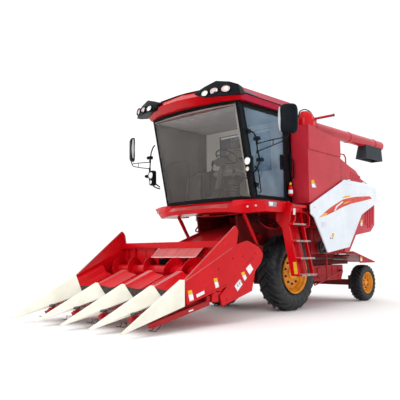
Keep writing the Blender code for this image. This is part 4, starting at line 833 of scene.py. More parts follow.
# console with levers and switches
outline = [(-1, 1.957), (-0.2, 1.957), (-0.2, 2.6), (-0.42, 2.62), (-0.66, 2.58), (-0.93, 2.46), (-1, 2.36)]
slab("X", outline, -0.775, -0.425)
piece("console_box", "cabDark", 0.025, ("side_console",), steps=4)
for x, y, z, tall, lean in ((-0.52, -0.74, 2.55, 0.2, 0.03), (-0.6, -0.74, 2.55, 0.17, -0.02),
        (-0.68, -0.6, 2.59, 0.15, 0.02), (-0.52, -0.52, 2.61, 0.12, 0)):
    tube([(x, y, z - 0.02), (x, y + lean, z + tall)], 0.007, 8)
    lathe([(0, -0.03), (0.012, -0.026), (0.021, 0), (0.02, 0.018), (0, 0.03)], (x, y + lean, z + tall), "Z", 16)
    lathe([(0.034, -0.012), (0.03, 0.004), (0.014, 0.02), (0.009, 0.032), (0, 0.032)], (x, y, z), "Z", 16)
for k in range(5):
    block((-0.73 + 0.055 * k, -0.36, 2.612), (-0.7 + 0.055 * k, -0.31, 2.628), 1)
# tall levers on the floor by the column
for x, y, tall, lean in ((-0.34, -1, 0.82, -0.06), (-0.13, -1.02, 0.72, 0.03), (0.33, -0.98, 0.52, 0.02)):
    top = 1.955 + tall
    tube(eased([(x, y, 1.955), (x, y - 0.02, 2.2), (x + lean, y + 0.06, top)], 0.1), 0.012, 8)
    lathe([(0, -0.045), (0.018, -0.038), (0.03, 0), (0.027, 0.026), (0, 0.04)], (x + lean, y + 0.06, top), "Z",
        16)
for x in (-0.16, 0.16, 0.26):
    tube([(x, -1.14, 1.955), (x, -1.1, 2.07), (x, -1.05, 2.11)], 0.01, 8)
    block((x - 0.04, -1.07, 2.095), (x + 0.04, -1.02, 2.115))
piece("levers", "blackPlastic paleGrey", 0.003)

# lining: rear wall, head lining with round bosses, mat and inner grab rail
for low, high in (((-0.98, -0.175, 1.96), (0.98, -0.168, 2.54)), ((-0.98, -0.175, 2.54), (-0.63, -0.168, 3.43)),
        ((0.63, -0.175, 2.54), (0.98, -0.168, 3.43)), ((-0.63, -0.175, 3.33), (0.63, -0.168, 3.43))):
    block(low, high, 0)
block((-0.98, -1.5, 3.44), (0.98, -0.16, 3.452), 3)
for k in range(5):
    x = -0.6 + 0.3 * k
    lathe([(0, -0.012), (0.045, -0.012), (0.052, -0.006), (0.055, 0), (0, 0)], (x, -1.3, 3.44), "Z", 20, 3)
for k in range(38):
    block((-0.94 + 0.0495 * k, -1.1, 1.952), (-0.94 + 0.0495 * k + 0.03, -0.2, 1.96), 1)
tube(eased([(-0.955, -1.3, 2.62), (-0.92, -1.24, 2.72), (-0.6, -1.22, 2.745), (-0.5, -1.21, 2.68),
    (-0.5, -1.18, 2.45), (-0.58, -1.1, 2.22), (-0.66, -1.06, 1.96)], 0.09), 0.014, 10, 2)
tube(eased([(0.955, -0.95, 2.1), (0.91, -0.96, 2.14), (0.91, -0.8, 2.52), (0.955, -0.78, 2.56)], 0.03), 0.01, 8,
    2)
piece("cab_lining", "cabGrey cabDark blackPlastic paleGrey")
print("cab fitted out")


# tank, engine hood and rear

# the tank's rolled rim, the dark seam behind it, and a dark line along the plain name board that is a painted
# shadow
for side in (1, -1):
    tube([(side * 1.33, -0.045, 3.295), (side * 1.33, 1.085, 3.167)], 0.011, 8)
    # a dark line along the name board: a painted shadow
    tube(eased([(side * 1.352, -0.045, 2.868), (side * 1.352, 1.065, 2.848)], 0.02), 0.006, 6, 1)
    tube([(side * 1.336, 1.0935, 1.95), (side * 1.336, 1.0935, 2.8)], 0.005, 6, 1)
for y, z in ((-0.042, 3.3), (1.083, 3.172)):
    tube([(-1.325, y, z), (1.325, y, z)], 0.012, 8)
# pressed ribs on the tank's front and rear walls
for x in (-0.9, -0.45, 0, 0.45, 0.9):
    tube([(x, -0.05, 1.98), (x, -0.05, 3.22)], 0.009, 6)
piece("tank_trim", "sideRed chassisRed")

tankLabels = [  # corners, face, side, finish
    ([(0.035, 2.305), (0.125, 2.315), (0.13, 2.245), (0.04, 2.235)], 1.34, 1, 0),
    ([(0.04, 2.235), (0.13, 2.245), (0.175, 2.185), (0.055, 2.175)], 1.34, 1, 1),
    ([(0.13, 2.275), (0.17, 2.255), (0.215, 2.185), (0.175, 2.185), (0.13, 2.245)], 1.34, 1, 2),
    ([(0.5, 2.6), (0.62, 2.6), (0.62, 2.66), (0.5, 2.66)], -1.34, -1, 0),
    ([(1.855, 1.61), (1.935, 1.616), (1.938, 1.672), (1.87, 1.668)], 1.32, 1, 0),
    ([(1.85, 1.546), (1.925, 1.552), (1.935, 1.614), (1.855, 1.608)], 1.32, 1, 1),
]
for corners, face, side, mat in tankLabels:
    label(corners, face, side, mat=mat)
piece("tank_labels", "signYellow signWhite signGrey")

# fill cover on the tank's top with its ribs, hinges and a grab bar
slab("X", [(0.02, 3.2935), (1.04, 3.178), (1.04, 3.192), (0.02, 3.3075)], -1.28, 0.8)
for x in (-1.2, -0.85, -0.5, -0.15, 0.2, 0.55):
    tube([(x, 0.06, 3.304), (x, 1, 3.198)], 0.011, 8)
for x in (-0.9, -0.1, 0.6):
    tube([(x - 0.05, 1.05, 3.19), (x + 0.05, 1.05, 3.19)], 0.014, 10, 1)
tube(eased([(-0.35, 0.1, 3.3), (-0.35, 0.1, 3.35), (-0.1, 0.1, 3.35), (-0.1, 0.1, 3.3)], 0.02), 0.009, 8, 1)
piece("tank_cover", "sideRed blackSteel", 0.003)


def hoodTop(y):
    line = [(1.1, 2.83), (1.44, 2.72), (1.73, 2.64), (1.94, 2.49), (2.46, 2.36), (2.5, 2.02)]
    for (ya, za), (yb, zb) in zip(line, line[1:]):
        if ya <= y <= yb:
            return za + (zb - za) * (y - ya) / (yb - ya)


def hoodBar(x, wide, start, end, thick):
    # a bar lying on the hood's rear slope
    low = [(start, hoodTop(start) + 0.001), (end, hoodTop(end) + 0.001)]
    slab("X", low + [(end, hoodTop(end) + thick), (start, hoodTop(start) + thick)], x, x + wide)


# engine grille on the hood's rear slope and louvres on its sides
for k in range(14):
    hoodBar(-0.62 + 0.095 * k, 0.03, 1.98, 2.42, 0.012)
block((-0.66, 1.955, 2.47), (0.7, 1.975, 2.498))
block((-0.66, 2.425, 2.36), (0.7, 2.45, 2.382))
for x in (-0.66, 0.68):
    hoodBar(x, 0.02, 1.96, 2.45, 0.014)
for side in (1, -1):
    for k in range(6):
        y = 1.5 + 0.07 * k
        slat = [(y, 2.46), (y + 0.045, 2.46), (y + 0.045, 2.6 - 0.01 * k), (y, 2.61 - 0.01 * k)]
        slab("X", slat, side * 1.3201, side * 1.326, 1)
piece("hood_grille", "blackSteel sideRed", 0.002)

# exhaust on the hood
tube(eased([(-0.85, 1.62, 2.6), (-0.85, 1.62, 2.95), (-0.85, 1.62, 3.12), (-0.85, 1.72, 3.2)], 0.06), 0.038, 16)
lathe([(0, 2.7), (0.075, 2.7), (0.088, 2.72), (0.088, 2.96), (0.075, 2.98), (0, 2.98)], (-0.85, 1.62, 0), "Z",
    28, 1)
piece("exhaust", "castGrey blackSteel", 0.002)

# pressed flutes on the straw hood, side and rear, with tail lamps
for side in (1, -1):
    for y, low, high in ((2.055, 1.56, 1.86), (2.15, 1.5, 1.92), (2.255, 1.5, 1.97), (2.36, 1.58, 1.99)):
        pts = [(side * 1.316, y + 0.03, high), (side * 1.322, y + 0.028, high - 0.03),
            (side * 1.322, y, low + 0.03), (side * 1.316, y - 0.002, low)]
        tube(pts, [0.006, 0.016, 0.016, 0.006], 8)
for x in (-1, -0.6, -0.2, 0.2, 0.6, 1):
    tube([(x, 2.468, 1.64), (x, 2.486, 1.8), (x, 2.504, 1.98)], 0.014, 8)
tube([(-1.31, 2.502, 2.03), (1.31, 2.502, 2.03)], 0.01, 8)
for side in (1, -1):
    block((side * 1.1, 2.5, 2.1), (side * 1.24, 2.516, 2.16), 1)
    block((side * 0.98, 2.5, 2.1), (side * 1.08, 2.516, 2.16), 2)
piece("tail_flutes", "sideRed stripeRed stripeGold", 0.002)

label([(2.37, 0.885), (2.45, 0.885), (2.46, 0.84), (2.38, 0.83)], 1.02, 1)
label([(2.38, 0.93), (2.46, 0.915), (2.45, 0.887), (2.37, 0.887)], 1.02, 1, mat=1)
piece("deflector_label", "signWhite signYellow")


# side doors: stripe, handle, lock and labels

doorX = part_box("side_door_left")[1].x
swoosh = [(0.167, 1.641), (0.358, 1.738), (0.54, 1.828), (0.731, 1.905), (1.044, 2.02), (1.3, 2.068),
    (1.589, 2.108), (2.145, 2.155), (2.235, 2.112), (1.754, 2.026), (1.38, 1.962), (1.035, 1.878), (0.76, 1.79),
    (0.476, 1.706)]
doorMarks = [  # corners, thickness, finish
    ([(2.145, 2.155), (1.589, 2.108), (2.235, 2.112)], 0.0012, 0),
    ([(0.175, 1.645), (0.34, 1.728), (0.47, 1.735), (0.43, 1.7)], 0.002, 1),
    ([(0.7, 1.789), (0.735, 1.789), (0.815, 1.862), (1.05, 1.975), (1.016, 1.985), (0.779, 1.879)], 0.002, 2),
    ([(1, 2.046), (1.14, 2.094), (1.36, 2.118), (1.29, 2.082), (1.13, 2.058)], 0.0014, 1),
    ([(1.03, 1.925), (1.09, 1.962), (1.226, 1.996), (1.33, 2.006), (1.16, 1.95)], 0.002, 1),
    ([(0.589, 1.302), (0.663, 1.308), (0.673, 1.374), (0.596, 1.37)], 0.0012, 1),
    ([(-0.012, 1.806), (0.044, 1.812), (0.042, 1.866), (-0.014, 1.858)], 0.0012, 1),
]
cup = [(0.225, 1.475), (0.395, 1.492), (0.402, 1.575), (0.23, 1.558)]
cupLine = eased([(y, z, 0) for y, z in cup], 0.02, 4, True)
cupY, cupZ = sum(p[0] for p in cup) / 4, sum(p[1] for p in cup) / 4
upperStep = [(-0.05, 1.835), (1.04, 2.315), (1.14, 2.365), (2.07, 2.365), (2.4, 2.305), (2.415, 2.245),
    (2.06, 2.325), (1.15, 2.325), (1.05, 2.275), (-0.05, 1.79)]
for side, word in ((1, "left"), (-1, "right")):
    body = word + "_side_door"
    for k in range(6):  # the stripe in six flat pieces along its length
        upper, lower = swoosh[k:k + 2], [swoosh[-k % 14], swoosh[(-k - 1) % 14]]
        label([lower[0], lower[1], upper[1], upper[0]] if k else [lower[1], upper[1], upper[0]], doorX, 1)
    for corners, thick, mat in doorMarks:
        label(corners, doorX, 1, thick, mat)
    piece("door_stripe_" + word, "stripeRed stripeGold doorWhite", flip=side < 0, body=body)
    # recessed handle and the lock below
    rings = []
    for grow, out in ((1, 0.0002), (1, 0.008), (0.9, 0.01), (0.8, 0.002), (0.78, 0.0004)):
        rings.append([(doorX + out, cupY + (y - cupY) * grow, cupZ + (z - cupZ) * grow) for y, z, _ in cupLine])
    skin(rings)
    tube(eased([(doorX + 0.004, 0.262, 1.527), (doorX + 0.014, 0.275, 1.528), (doorX + 0.014, 0.355, 1.536),
        (doorX + 0.004, 0.368, 1.537)], 0.01), 0.007, 8)
    lathe([(0, 0.01), (0.01, 0.009), (0.014, 0), (0, 0)], (doorX, 0.545, 1.282), "X", 16, 1)
    lathe([(0, 0.01), (0.008, 0.009), (0.011, 0), (0, 0)], (doorX, 0.605, 1.283), "X", 16, 1)
    piece("door_handle_" + word, "doorWhite castGrey", flip=side < 0, body=body)
    # a raised step pressed along the door's upper edge, and its hinges
    slab("X", upperStep, doorX - 0.002, doorX + 0.0035)
    for y in (1.35, 1.95):
        tube([(1.366, y - 0.05, 2.4195), (1.366, y + 0.05, 2.4195)], 0.011, 10)
    piece("door_press_" + word, "doorWhite", 0.0025, flip=side < 0, body=body)


# ladder treads, reflectors; drives and clutter low on the body

ladder = {"top": (1.1, 1.8), "foot": (1.42, 0.64)}


def onStringer(share):
    (topX, topZ), (footX, footZ) = ladder["top"], ladder["foot"]
    return topX + (footX - topX) * share, topZ + (footZ - topZ) * share


for share in (0.25, 0.5, 0.75):
    x, z = onStringer(share)
    for k in range(5):  # gripping ribs along the tread
        tube([(x - 0.028 + 0.036 * k, -0.585, z + 0.014), (x - 0.028 + 0.036 * k, -0.175, z + 0.014)], 0.005, 6)
    block((x - 0.038, -0.592, z + 0.0121), (x + 0.15, -0.165, z + 0.0145))
    block((x + 0.1502, -0.592, z - 0.014), (x + 0.156, -0.165, z + 0.016))
for k in range(6):
    tube([(1.32 + 0.034 * k, -0.59, 0.667), (1.32 + 0.034 * k, -0.145, 0.667)], 0.005, 6)
block((1.305, -0.594, 0.6652), (1.508, -0.142, 0.6675))
block((1.5102, -0.596, 0.638), (1.516, -0.14, 0.669))
for k in range(9):
    tube([(1.06 + 0.032 * k, -0.57, 1.842), (1.06 + 0.032 * k, -0.16, 1.842)], 0.004, 6)
piece("ladder_treads", "wornTread", 0.001)

a, b = onStringer(0.8), onStringer(0.97)
quad = [(a[0] - 0.005, a[1]), (a[0] + 0.06, a[1]), (b[0] + 0.03, b[1]), (b[0] - 0.035, b[1])]
slab("Y", quad, -0.6206, -0.6192)
slab("Y", [(1.375, 1.66), (1.415, 1.66), (1.425, 1.76), (1.385, 1.77)], -0.618, -0.6155, 1)
piece("ladder_reflectors", "signYellow signWhite")

# belt drive: plate, grooved pulleys with spokes, and the belts round them
block((0.8005, 0.8, 1), (0.812, 2.02, 1.8))
for y in (0.92, 1.3, 1.9):
    tube([(0.814, y, 1.03), (0.814, y, 1.77)], 0.01, 6)
beltDrive = {  # y, z and radius of each pulley, then where each belt runs and round which two
    "pulleys": [(1.05, 1.6, 0.17), (1.62, 1.36, 0.24), (1.1, 1.12, 0.12), (1.98, 1.68, 0.13)],
    "belts": [(0.868, 0, 1), (0.894, 1, 2), (0.868, 1, 3)], "spokes": 5}
pulleys = beltDrive["pulleys"]
for y, z, r in pulleys:
    lathe([(r * 0.86, 0.85), (r, 0.852), (r * 0.99, 0.858), (r * 0.93, 0.866), (r * 0.93, 0.87),
        (r * 0.99, 0.878), (r * 0.99, 0.884), (r * 0.93, 0.892), (r * 0.93, 0.896), (r * 0.99, 0.904),
        (r, 0.91), (r * 0.86, 0.91)], (0, y, z), "X", 40, 1)
    lathe([(0, 0.925), (0.02, 0.925), (0.024, 0.918), (0.045, 0.912), (0.045, 0.82), (0, 0.815)], (0, y, z),
        "X", 20, 1)
    for k in range(beltDrive["spokes"]):
        a = 2 * pi * k / beltDrive["spokes"] + y
        spoke = [(0.88, y + cos(a) * at, z + sin(a) * at) for at in (0.03, r * 0.9)]
        tube(spoke, [0.022, 0.012], 8, 1)
for x, i, j in beltDrive["belts"]:  # an open belt round two pulleys
    (y0, z0, r0), (y1, z1, r1) = [(y, z, r * 0.955) for y, z, r in (pulleys[i], pulleys[j])]
    lean = atan2(z1 - z0, y1 - y0)
    spread = acos((r0 - r1) / hypot(y1 - y0, z1 - z0))
    turns = [(y0, z0, r0, lean + spread + (2 * pi - 2 * spread) * k / 18) for k in range(19)]
    turns += [(y1, z1, r1, lean - spread + 2 * spread * k / 18) for k in range(19)]
    tube([(x, y + r * cos(a), z + r * sin(a)) for y, z, r, a in turns], 0.0075, 6, 2, closed=True)
tube([(0.84, 1.38, 1.66), (0.84, 1.5, 1.74), (0.84, 1.74, 1.58)], 0.014, 8)
lathe([(0, 0.91), (0.045, 0.905), (0.045, 0.86), (0, 0.85)], (0, 1.38, 1.64), "X", 20, 1)
piece("belt_drives", "bodyRed castGrey rubberSeal", 0, ("belt_drive",))

# ribs, covers, bolts and rods on the lower body, both sides
for side in (1, -1):
    for y in (0.86, 1.1, 1.34, 1.58, 1.82):
        tube([(side * 0.802, y, 0.5), (side * 0.802, y, 0.75)], 0.01, 6)
    slab("X", [(1.02, 0.53), (1.44, 0.53), (1.44, 0.72), (1.02, 0.72)], side * 0.8005, side * 0.812)
    for y, z in ((1.04, 0.55), (1.42, 0.55), (1.04, 0.7), (1.42, 0.7), (0, 0.81), (0.3, 0.81), (0.6, 0.81),
            (1.5, 0.81), (2.1, 0.81), (2.4, 0.81)):
        x = side * (0.812 if y in (1.04, 1.42) else 0.5201)
        lathe([(0, side * 0.01), (0.012, side * 0.009), (0.014, 0), (0, 0)], (x, y, z), "X", 6, 1)
    tube([(side * 0.7, 0.5, 0.9), (side * 0.7, 2.2, 0.9)], 0.014, 8, 1)
    tube(eased([(side * 0.6, 2.05, 0.95), (side * 0.72, 2.22, 1.05), (side * 0.9, 2.3, 1.2),
        (side * 0.92, 2.3, 1.45)], 0.08), 0.012, 8, 2)
    for y in (0.1, 0.28, 0.46, 0.64):
        tube([(side * 0.9715, y, 1.54), (side * 0.9715, y, 1.86)], 0.01, 6)
# fan housing and elevator on the right
tube([(-0.86, 1.75, 0.6), (-0.9, 1.35, 1.9)], 0.075, 16)
for k in range(8):
    y = 0.86 + 0.13 * k
    slab("Z", [(-0.8005, y), (-0.822, y + 0.02), (-0.822, y + 0.035), (-0.8005, y + 0.09)], 1.15, 1.65)
piece("lower_body_trim", "bodyRed castGrey rubberSeal")

# valve block, pipes and hoses under the cab
block((0.05, -1.04, 1.66), (0.36, -0.9, 1.78), 1)
for k in range(6):
    x = 0.08 + 0.048 * k
    lathe([(0, 0), (0.014, 0), (0.014, 0.03), (0, 0.03)], (x, -1.07, 1.7), "Y", 10, 2)
    drop = 0.018 * sin(k * 1.7) + 0.02
    tube(eased([(x, -1.06, 1.71), (x - 0.02, -1.13, 1.7 - drop), (x - 0.1 - 0.03 * k, -1.1, 1.69 - drop),
        (x - 0.26, -0.98, 1.7), (x - 0.32, -0.92, 1.78)], 0.05), 0.011, 8)
for k in range(4):
    tube(eased([(0.36, -0.98 + 0.02 * k, 1.76 - 0.02 * k), (0.52, -1 + 0.02 * k, 1.74 - 0.02 * k),
        (0.7, -0.94, 1.7 - 0.03 * k), (0.74, -0.75, 1.66 - 0.04 * k), (0.72, -0.12, 1.6 - 0.04 * k)], 0.1),
        0.01, 8)
tube(eased([(-0.6, -1.06, 1.76), (-0.2, -1.2, 1.68), (0.3, -1.22, 1.67), (0.75, -1.1, 1.72)], 0.2), 0.014, 8, 3)
for side in (1, -1):
    tube(eased([(side * 0.72, -0.7, 1.78), (side * 0.72, -0.7, 1.56), (side * 0.86, -0.66, 1.46),
        (side * 0.92, -0.5, 1.44), (side * 0.92, -0.14, 1.56)], 0.05), 0.014, 8, 3)
for side in (1, -1):
    tube([(side * 0.77, -0.8, 1.13), (side * 0.77, -1.185, 1.688)], 0.032, 12, 4)
    block((side * 0.72, -0.86, 1.06), (side * 0.82, -0.74, 1.16), 4)
piece("hydraulics", "rubberSeal blackSteel brightSteel bodyRed glossRed")

# bolts and the hose over the auger's elbow
tube(eased([(1.05, 0.12, 3.5), (1.05, 0.15, 3.62), (1.05, 0.33, 3.7), (1.05, 0.52, 3.69), (1.05, 0.64, 3.6),
    (1.05, 0.74, 3.5)], 0.12), 0.01, 8)
piece("elbow_hose", "rubberSeal", body="unloading_auger")
collars = {"axis": (1.05, 0, 3.39), "at": (0.575, 0.6, 1.9, 3.02), "bolts": 8}
augerX, _, augerZ = collars["axis"]
for y in collars["at"]:
    lathe([(0.105, y - 0.01), (0.1185, y - 0.008), (0.1185, y + 0.008), (0.105, y + 0.01)], collars["axis"],
        "Y", 40)
for c, s in circle(collars["bolts"]):
    tube([(augerX + 0.112 * c, y, augerZ + 0.112 * s) for y in (0.555, 0.622)], 0.006, 6, 1)
lathe([(0.166, 3.235), (0.19, 3.237), (0.19, 3.25), (0.166, 3.252)], (1.05, 0.34, 0), "Z", 40)
lathe([(0, 3.3795), (0.06, 3.379), (0.1, 3.377), (0.112, 3.374), (0, 3.37)], collars["axis"], "Y", 32)
lathe([(0.024, -0.012), (0.029, -0.008), (0.03, 0), (0, 0.006)], (1.49, 0.635, 3.56), "X", 14, 1)
piece("auger_collars", "sideRed castGrey", body="unloading_auger")
print("body fitted out")


# the hoods form one shallow deck behind the snouts: flat ridges whose upward faces are painted paler as a
# highlight, and a narrow slit over each row
deck = {  # front and rear values of y, side height and ridge height
    "pitch": 0.65, "y": (-3.105, -2.57), "side": (0.492, 0.7), "ridge": (0.566, 0.772), "slit": 0.02,
    "edge": 1.2625}


def alongDeck(share):
    return [deck[key][0] + (deck[key][1] - deck[key][0]) * share for key in ("y", "side", "ridge")]


for place in (-1, 0, 1):
    x = place * deck["pitch"]
    wide = deck["pitch"] / 2 - deck["slit"]
    rings = []
    for share in (0, 0.5, 1):
        y, low, top = alongDeck(share)
        flat = 0.036 + 0.024 * share
        foot = 0.36 + 0.15 * share
        right = [(flat, top), (flat + 0.06, low + 0.03), (wide, low), (wide, foot + 0.06), (0.2, foot)]
        left = [(-reach, z) for reach, z in right[3::-1]]
        rings.append([(x + reach, y, z) for reach, z in left + right + [(-0.2, foot)]])
    skin(rings)
for side in (-1, 1):
    outer, inner = side * deck["edge"], side * (1.5 * deck["pitch"] + deck["slit"])
    rings = []
    for share in (0, 0.5, 1):
        y, low, _ = alongDeck(share)
        rings.append([(outer, y, 0.36 + 0.15 * share), (outer, y, low + 0.15),
            (outer - side * 0.06, y, low + 0.125), (outer - side * 0.12, y, low + 0.03), (inner, y, low),
            (inner, y, 0.4 + 0.15 * share)])
    skin(rings)
rowSpots = (-1.5, -0.5, 0.5, 1.5)  # the four rows, in steps of the pitch
edges = [-deck["edge"]] + [row * deck["pitch"] + s * 0.03 for row in rowSpots for s in (-1, 1)] + [deck["edge"]]
for low, high in zip(edges[::2], edges[1::2]):
    slab("X", [(-2.632, 0.545), (-2.605, 0.545), (-2.562, 0.695), (-2.59, 0.695)], low, high)
block((-deck["edge"], -2.7, 0.45), (deck["edge"], -2.626, 0.545))
bmesh.ops.recalc_face_normals(bm, faces=bm.faces)
# upward faces on the ridges take the paler red: a painted highlight
for f in bm.faces:
    c = f.calc_center_median()
    onRidge = min(abs(c.x - place * deck["pitch"]) for place in (-1, 0, 1)) < 0.03
    f.material_index = int(onRidge and f.normal.z > 0.6 and c.z > 0.56)
piece("long_hoods", "glossRed ridgeRed", 0.005, ("row_hoods",), body="header")

# slit rubber flaps hanging from the deck's front edge, over each row
for place in rowSpots:
    x = place * deck["pitch"]
    for side in (-1, 1):
        reach = 0.235 if abs(place) < 1 or side * place < 0 else 0.09
        quad = [(x + side * 0.004, 0.375), (x + side * 0.004, 0.52),
            (x + side * reach, 0.548 if reach > 0.1 else 0.525), (x + side * reach, 0.5),
            (x + side * min(0.1, reach), 0.395)]
        bowed = [(px, -3.1085 - 0.02 * (1 - abs(px - x) / 0.235), pz) for px, pz in quad]
        skin([bowed, [(px, py - 0.01, pz) for px, py, pz in bowed]])
        for k in range(3):
            px = x + side * (0.035 + 0.05 * k)
            if abs(px - x) < reach - 0.02:
                tube([(px, -3.124, 0.515), (px, -3.124, 0.42 + 0.02 * k)], 0.004, 6)
piece("row_flaps", "rubberFlap", 0.001, body="header")


def onCover(x, share, lift):
    return (x, -2.055 - 0.235 * share, 1.16 - 0.195 * share + lift)


# a cover over the feeder's mouth in the paler red of a painted highlight, a white tube round its edge as a
# painted highlight on the rolled rim, and a black plate below it as painted shade in the mouth
coverCorners = ((-0.3, 0), (0.7, 0), (0.7, 1), (-0.3, 1))
skin([[onCover(x, share, lift) for x, share in coverCorners] for lift in (0, 0.008)])
# a black plate in the feeder's mouth: painted shade
block((-0.378, -2.048, 0.5), (0.378, -2.04, 0.935), 3)
# a white tube round the cover's edge: a painted highlight
tube([onCover(x, share, 0.006) for x, share in coverCorners], 0.007, 6, 1, closed=True)
for x in (-0.05, 0.2, 0.45):
    tube([onCover(x, 0.04, 0.008), onCover(x, 0.96, 0.008)], 0.006, 6)
for x in (-0.26, 0.66):
    for share in (0.2, 0.8):
        lathe([(0, 0.01), (0.0096, 0.009), (0.012, 0), (0, -0.002)], onCover(x, share, 0.008), "Z", 6, 2)
piece("feeder_cover", "ridgeRed signWhite brightSteel rubberSeal", 0.002, body="header")

# rear wall: pressed ribs, the round side plates, a bowed guard and the auger's bearing
for x in (-1.05, -0.7, -0.45, 0.45, 0.8, 1.05):
    tube([(x, -2.062, 0.66), (x, -2.062, 1.1)], 0.012, 6)
for side in (-1, 1):
    lathe([(0.1, side * 1.2635), (0.27, side * 1.2635), (0.28, side * 1.256), (0.1, side * 1.256)],
        (0, -2.295, 0.74), "X", 36)
    lathe([(0, side * 1.25), (0.06, side * 1.252), (0.075, side * 1.262), (0, side * 1.264)], (0, -2.295, 0.74),
        "X", 24, 1)
tube([(-1.262, -2.078, 1.205), (1.262, -2.078, 1.205)], 0.014, 8)
for x in (-1.15, -0.95, 0.95, 1.15):
    slab("X", [(-2.064, 0.8), (-2.064, 1.12), (-2.1, 1.12)], x - 0.006, x + 0.006)
piece("header_ribs", "glossRed castGrey", 0.001, body="header")

# fins: a rolled edge along the top and a line along the fin's foot, both in the paler red of a painted
# highlight, the rounded rear end, and a pressed rib on each side panel
for side in (-1, 1):
    tube(eased([(side * 1.268, -3.108, 0.668), (side * 1.3235, -2.085, 1.432), (side * 1.3185, -2.024, 1.365),
        (side * 1.268, -2.018, 1.1)], 0.03), 0.011, 8, 2)
    tube([(side * 1.2905, -1.868, 0.797), (side * 1.2925, -1.74, 0.88), (side * 1.2905, -1.601, 0.974)],
        [0.004, 0.01, 0.004], 8)
    # the line along the fin's foot, in the paler red: a painted highlight
    tube([(side * 1.2925, y, z) for y, z in ((-3.115, 0.662), (-2.6, 0.892), (-2.12, 1.112))], 0.009, 8, 2)
    rear = [(-2.1, 1.122), (-1.75, 1.212), (-1.48, 1.122), (-1.362, 1.022), (-1.402, 0.9), (-1.572, 0.758),
        (-1.662, 0.452)]
    tube(eased([(side * 1.28, y, z) for y, z in rear], 0.05), 0.012, 8)
    for y, z in ((-1.55, 1.02), (-1.62, 0.62), (-2.25, 0.36), (-2.7, 0.5), (-2.1, 0.95), (-1.86, 0.98),
            (-2.42, 0.8)):
        lathe([(0, side * 1.3), (0.011, side * 1.299), (0.014, side * 1.29), (0, side * 1.289)], (0, y, z), "X",
            6, 1)
    # folded stiffener under the panel's lower edge
    slab("X", [(-3.08, 0.345), (-2.245, 0.553), (-2.25, 0.575), (-3.085, 0.368)], side * 1.2903, side * 1.298)
piece("panel_edges", "glossRed bodyRed ridgeRed", body="header")

stickers = [  # corners, finish
    ([(-3.061, 0.53), (-2.983, 0.538), (-2.965, 0.49), (-3.048, 0.478)], 0),
    ([(-3.046, 0.475), (-2.963, 0.487), (-2.94, 0.403), (-3.022, 0.387)], 1),
    ([(-2.896, 0.472), (-2.733, 0.518), (-2.725, 0.474), (-2.878, 0.427)], 1),
    ([(-2.535, 0.674), (-2.459, 0.68), (-2.444, 0.632), (-2.52, 0.626)], 0),
    ([(-2.519, 0.623), (-2.443, 0.629), (-2.419, 0.551), (-2.49, 0.536)], 1),
    ([(-2.073, 0.547), (-1.946, 0.642), (-1.885, 0.564), (-2.003, 0.465)], 1),
    ([(-1.917, 0.734), (-1.837, 0.753), (-1.818, 0.715), (-1.89, 0.69)], 0),
    ([(-1.888, 0.687), (-1.816, 0.712), (-1.779, 0.653), (-1.834, 0.611)], 1),
    ([(-1.799, 0.795), (-1.693, 0.867), (-1.617, 0.783), (-1.712, 0.7)], 1),
]
for side in (-1, 1):
    for quad, mat in stickers:
        label(quad, side * 1.29, side, 0.0014, mat)
    label([(-2.999, 0.24), (-2.91, 0.256), (-2.91, 0.275), (-2.999, 0.258)], side * 1.245, side, 0.0014, 1)
    for y in (-2.02, -1.98, -1.94):
        rise = (y + 2.02) * 0.7
        corners = [(y, 0.56 + rise), (y + 0.02, 0.575 + rise), (y + 0.045, 0.54 + rise),
            (y + 0.025, 0.525 + rise)]
        label(corners, side * 1.2916, side, 0.0006, 2)
piece("header_labels", "signYellow signWhite signGrey", body="header")

# gathering chains with lugs along both edges of each row, and the arms' hooked fronts
for place in rowSpots:
    x = place * deck["pitch"]
    for side in (-1, 1):
        a, b = Vector((x + side * 0.085, -3.66, 0.25)), Vector((x + side * 0.085, -2.7, 0.47))
        along = (b - a).normalized()
        for k in range(26):
            p = a + (b - a) * k / 26
            tube([p, p + along * 0.026], 0.008, 6, 1)
        for k in range(6):
            p = a + (b - a) * (k + 0.5) / 6
            tube([p, p + Vector((-side * 0.05, 0, 0.012))], [0.011, 0.006], 6, 1)
        lathe([(0, 0.014), (0.042, 0.012), (0.046, 0), (0.042, -0.012), (0, -0.014)], a - along * 0.01,
            (unit["X"], along, Vector((0, -along.z, along.y))), 18, 1)
        tube([(x + side * 0.105, -3.735, 0.175), (x + side * 0.105, -3.6, 0.235),
            (x + side * 0.105, -2.62, 0.455)], 0.014, 8)
        # spiral ridges on the stalk rolls
        f, t = Vector((x + side * 0.04, -3.6, 0.163)), Vector((x + side * 0.04, -2.62, 0.33))
        turn = []
        for k in range(61):
            q = f + (t - f) * k / 60
            ang = side * k * 0.55
            turn.append((q.x + 0.036 * cos(ang), q.y, q.z + 0.036 * sin(ang)))
        tube(turn, 0.006, 5, 1)
piece("row_chains", "bodyRed castGrey", body="header")

innerSkid = [(0.02, -3.76, 0.078), (0.055, -3.66, 0.055), (0.055, -3.62, 0.105), (0.03, -3.66, 0.115)]
outerSkids = [
    [(1.285, -3.76, 0.075), (1.225, -3.66, 0.052), (1.225, -3.6, 0.105), (1.255, -3.64, 0.12)],
    [(1.29, -3.74, 0.075), (1.293, -3.64, 0.052), (1.29, -3.56, 0.105), (1.28, -3.54, 0.14)]]
for number in range(1, 6):  # a pair of wire skids under each snout
    name = f"snout_{number}"
    low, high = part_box(name)
    middle = (low.x + high.x) / 2
    if number in (1, 5):
        lines = [[(copysign(x, middle), y, z) for x, y, z in line] for line in outerSkids]
    else:
        lines = [[(middle + side * x, y, z) for x, y, z in innerSkid] for side in (-1, 1)]
    for line in lines:
        tube(eased(line, 0.02), 0.0045, 6)
    piece(f"skid_wire_{number}", "blackSteel", body=name)
print("header fitted out")


# camera, floor and light

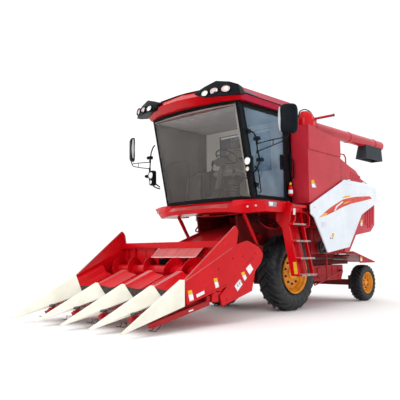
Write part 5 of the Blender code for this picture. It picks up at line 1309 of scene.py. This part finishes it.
def placed(name, data):
    obj = bpy.data.objects.new(name, data)
    bpy.context.scene.collection.objects.link(obj)
    obj.rotation_mode = "QUATERNION"
    return obj


viewer = {"spot": (6.629, -8.076, 1.048), "azimuth": 43.195, "pitch": 5.338, "roll": -0.484, "lens": 50.28}
data = bpy.data.cameras.new("viewer")
data.lens = viewer["lens"]
data.sensor_width = 36
data.clip_start, data.clip_end = 0.1, 200
azimuth, pitch = radians(viewer["azimuth"]), radians(viewer["pitch"])
ahead = Vector((-sin(azimuth) * cos(pitch), cos(azimuth) * cos(pitch), sin(pitch)))
camera = placed("viewer", data)
level = ahead.to_track_quat("-Z", "Y").to_matrix().to_4x4()
camera.matrix_world = (
    Matrix.Translation(viewer["spot"]) @ level @ Matrix.Rotation(radians(viewer["roll"]), 4, "Z"))
bpy.context.scene.camera = camera

softboxes = {  # place, aim, width and height, power
    "keyLight": ((3, -11, 9), (0, -1.5, 1.2), (6, 6), 450),
    "sideLight": ((11, 1.5, 6), (0, 1, 1.8), (9, 6), 110),
    "topLight": ((0, 0, 11), (0, 0, 1), (12, 12), 160),
}
for name, (spot, aim, size, power) in softboxes.items():
    data = bpy.data.lights.new(name, "AREA")
    data.shape = "RECTANGLE"
    data.size, data.size_y = size
    data.energy = power
    lamp = placed(name, data)
    lamp.location = spot
    lamp.rotation_quaternion = (Vector(aim) - Vector(spot)).to_track_quat("-Z", "Y")

bpy.context.scene.view_settings.view_transform = "Standard"
world = bpy.data.worlds.new("studio")
bpy.context.scene.world = world
world.use_nodes = True
backing = world.node_tree.nodes["Background"]
backing.inputs["Color"].default_value = (1, 1, 1, 1)
backing.inputs["Strength"].default_value = 1.08

bmesh.ops.create_grid(bm, x_segments=2, y_segments=2, size=60)
floorMesh = bpy.data.meshes.new("floor")
bm.to_mesh(floorMesh)
bm.free()
floor = placed("floor", floorMesh)
floor.location = (0, 0, -0.003)
floorMesh.materials.append(finish("paleFloor", (0.94, 0.94, 0.94), (0.97, 0.97, 0.97), (0.7, 0.85), 0.3, 8, 0))
print("lights set")

print("pieces in place")
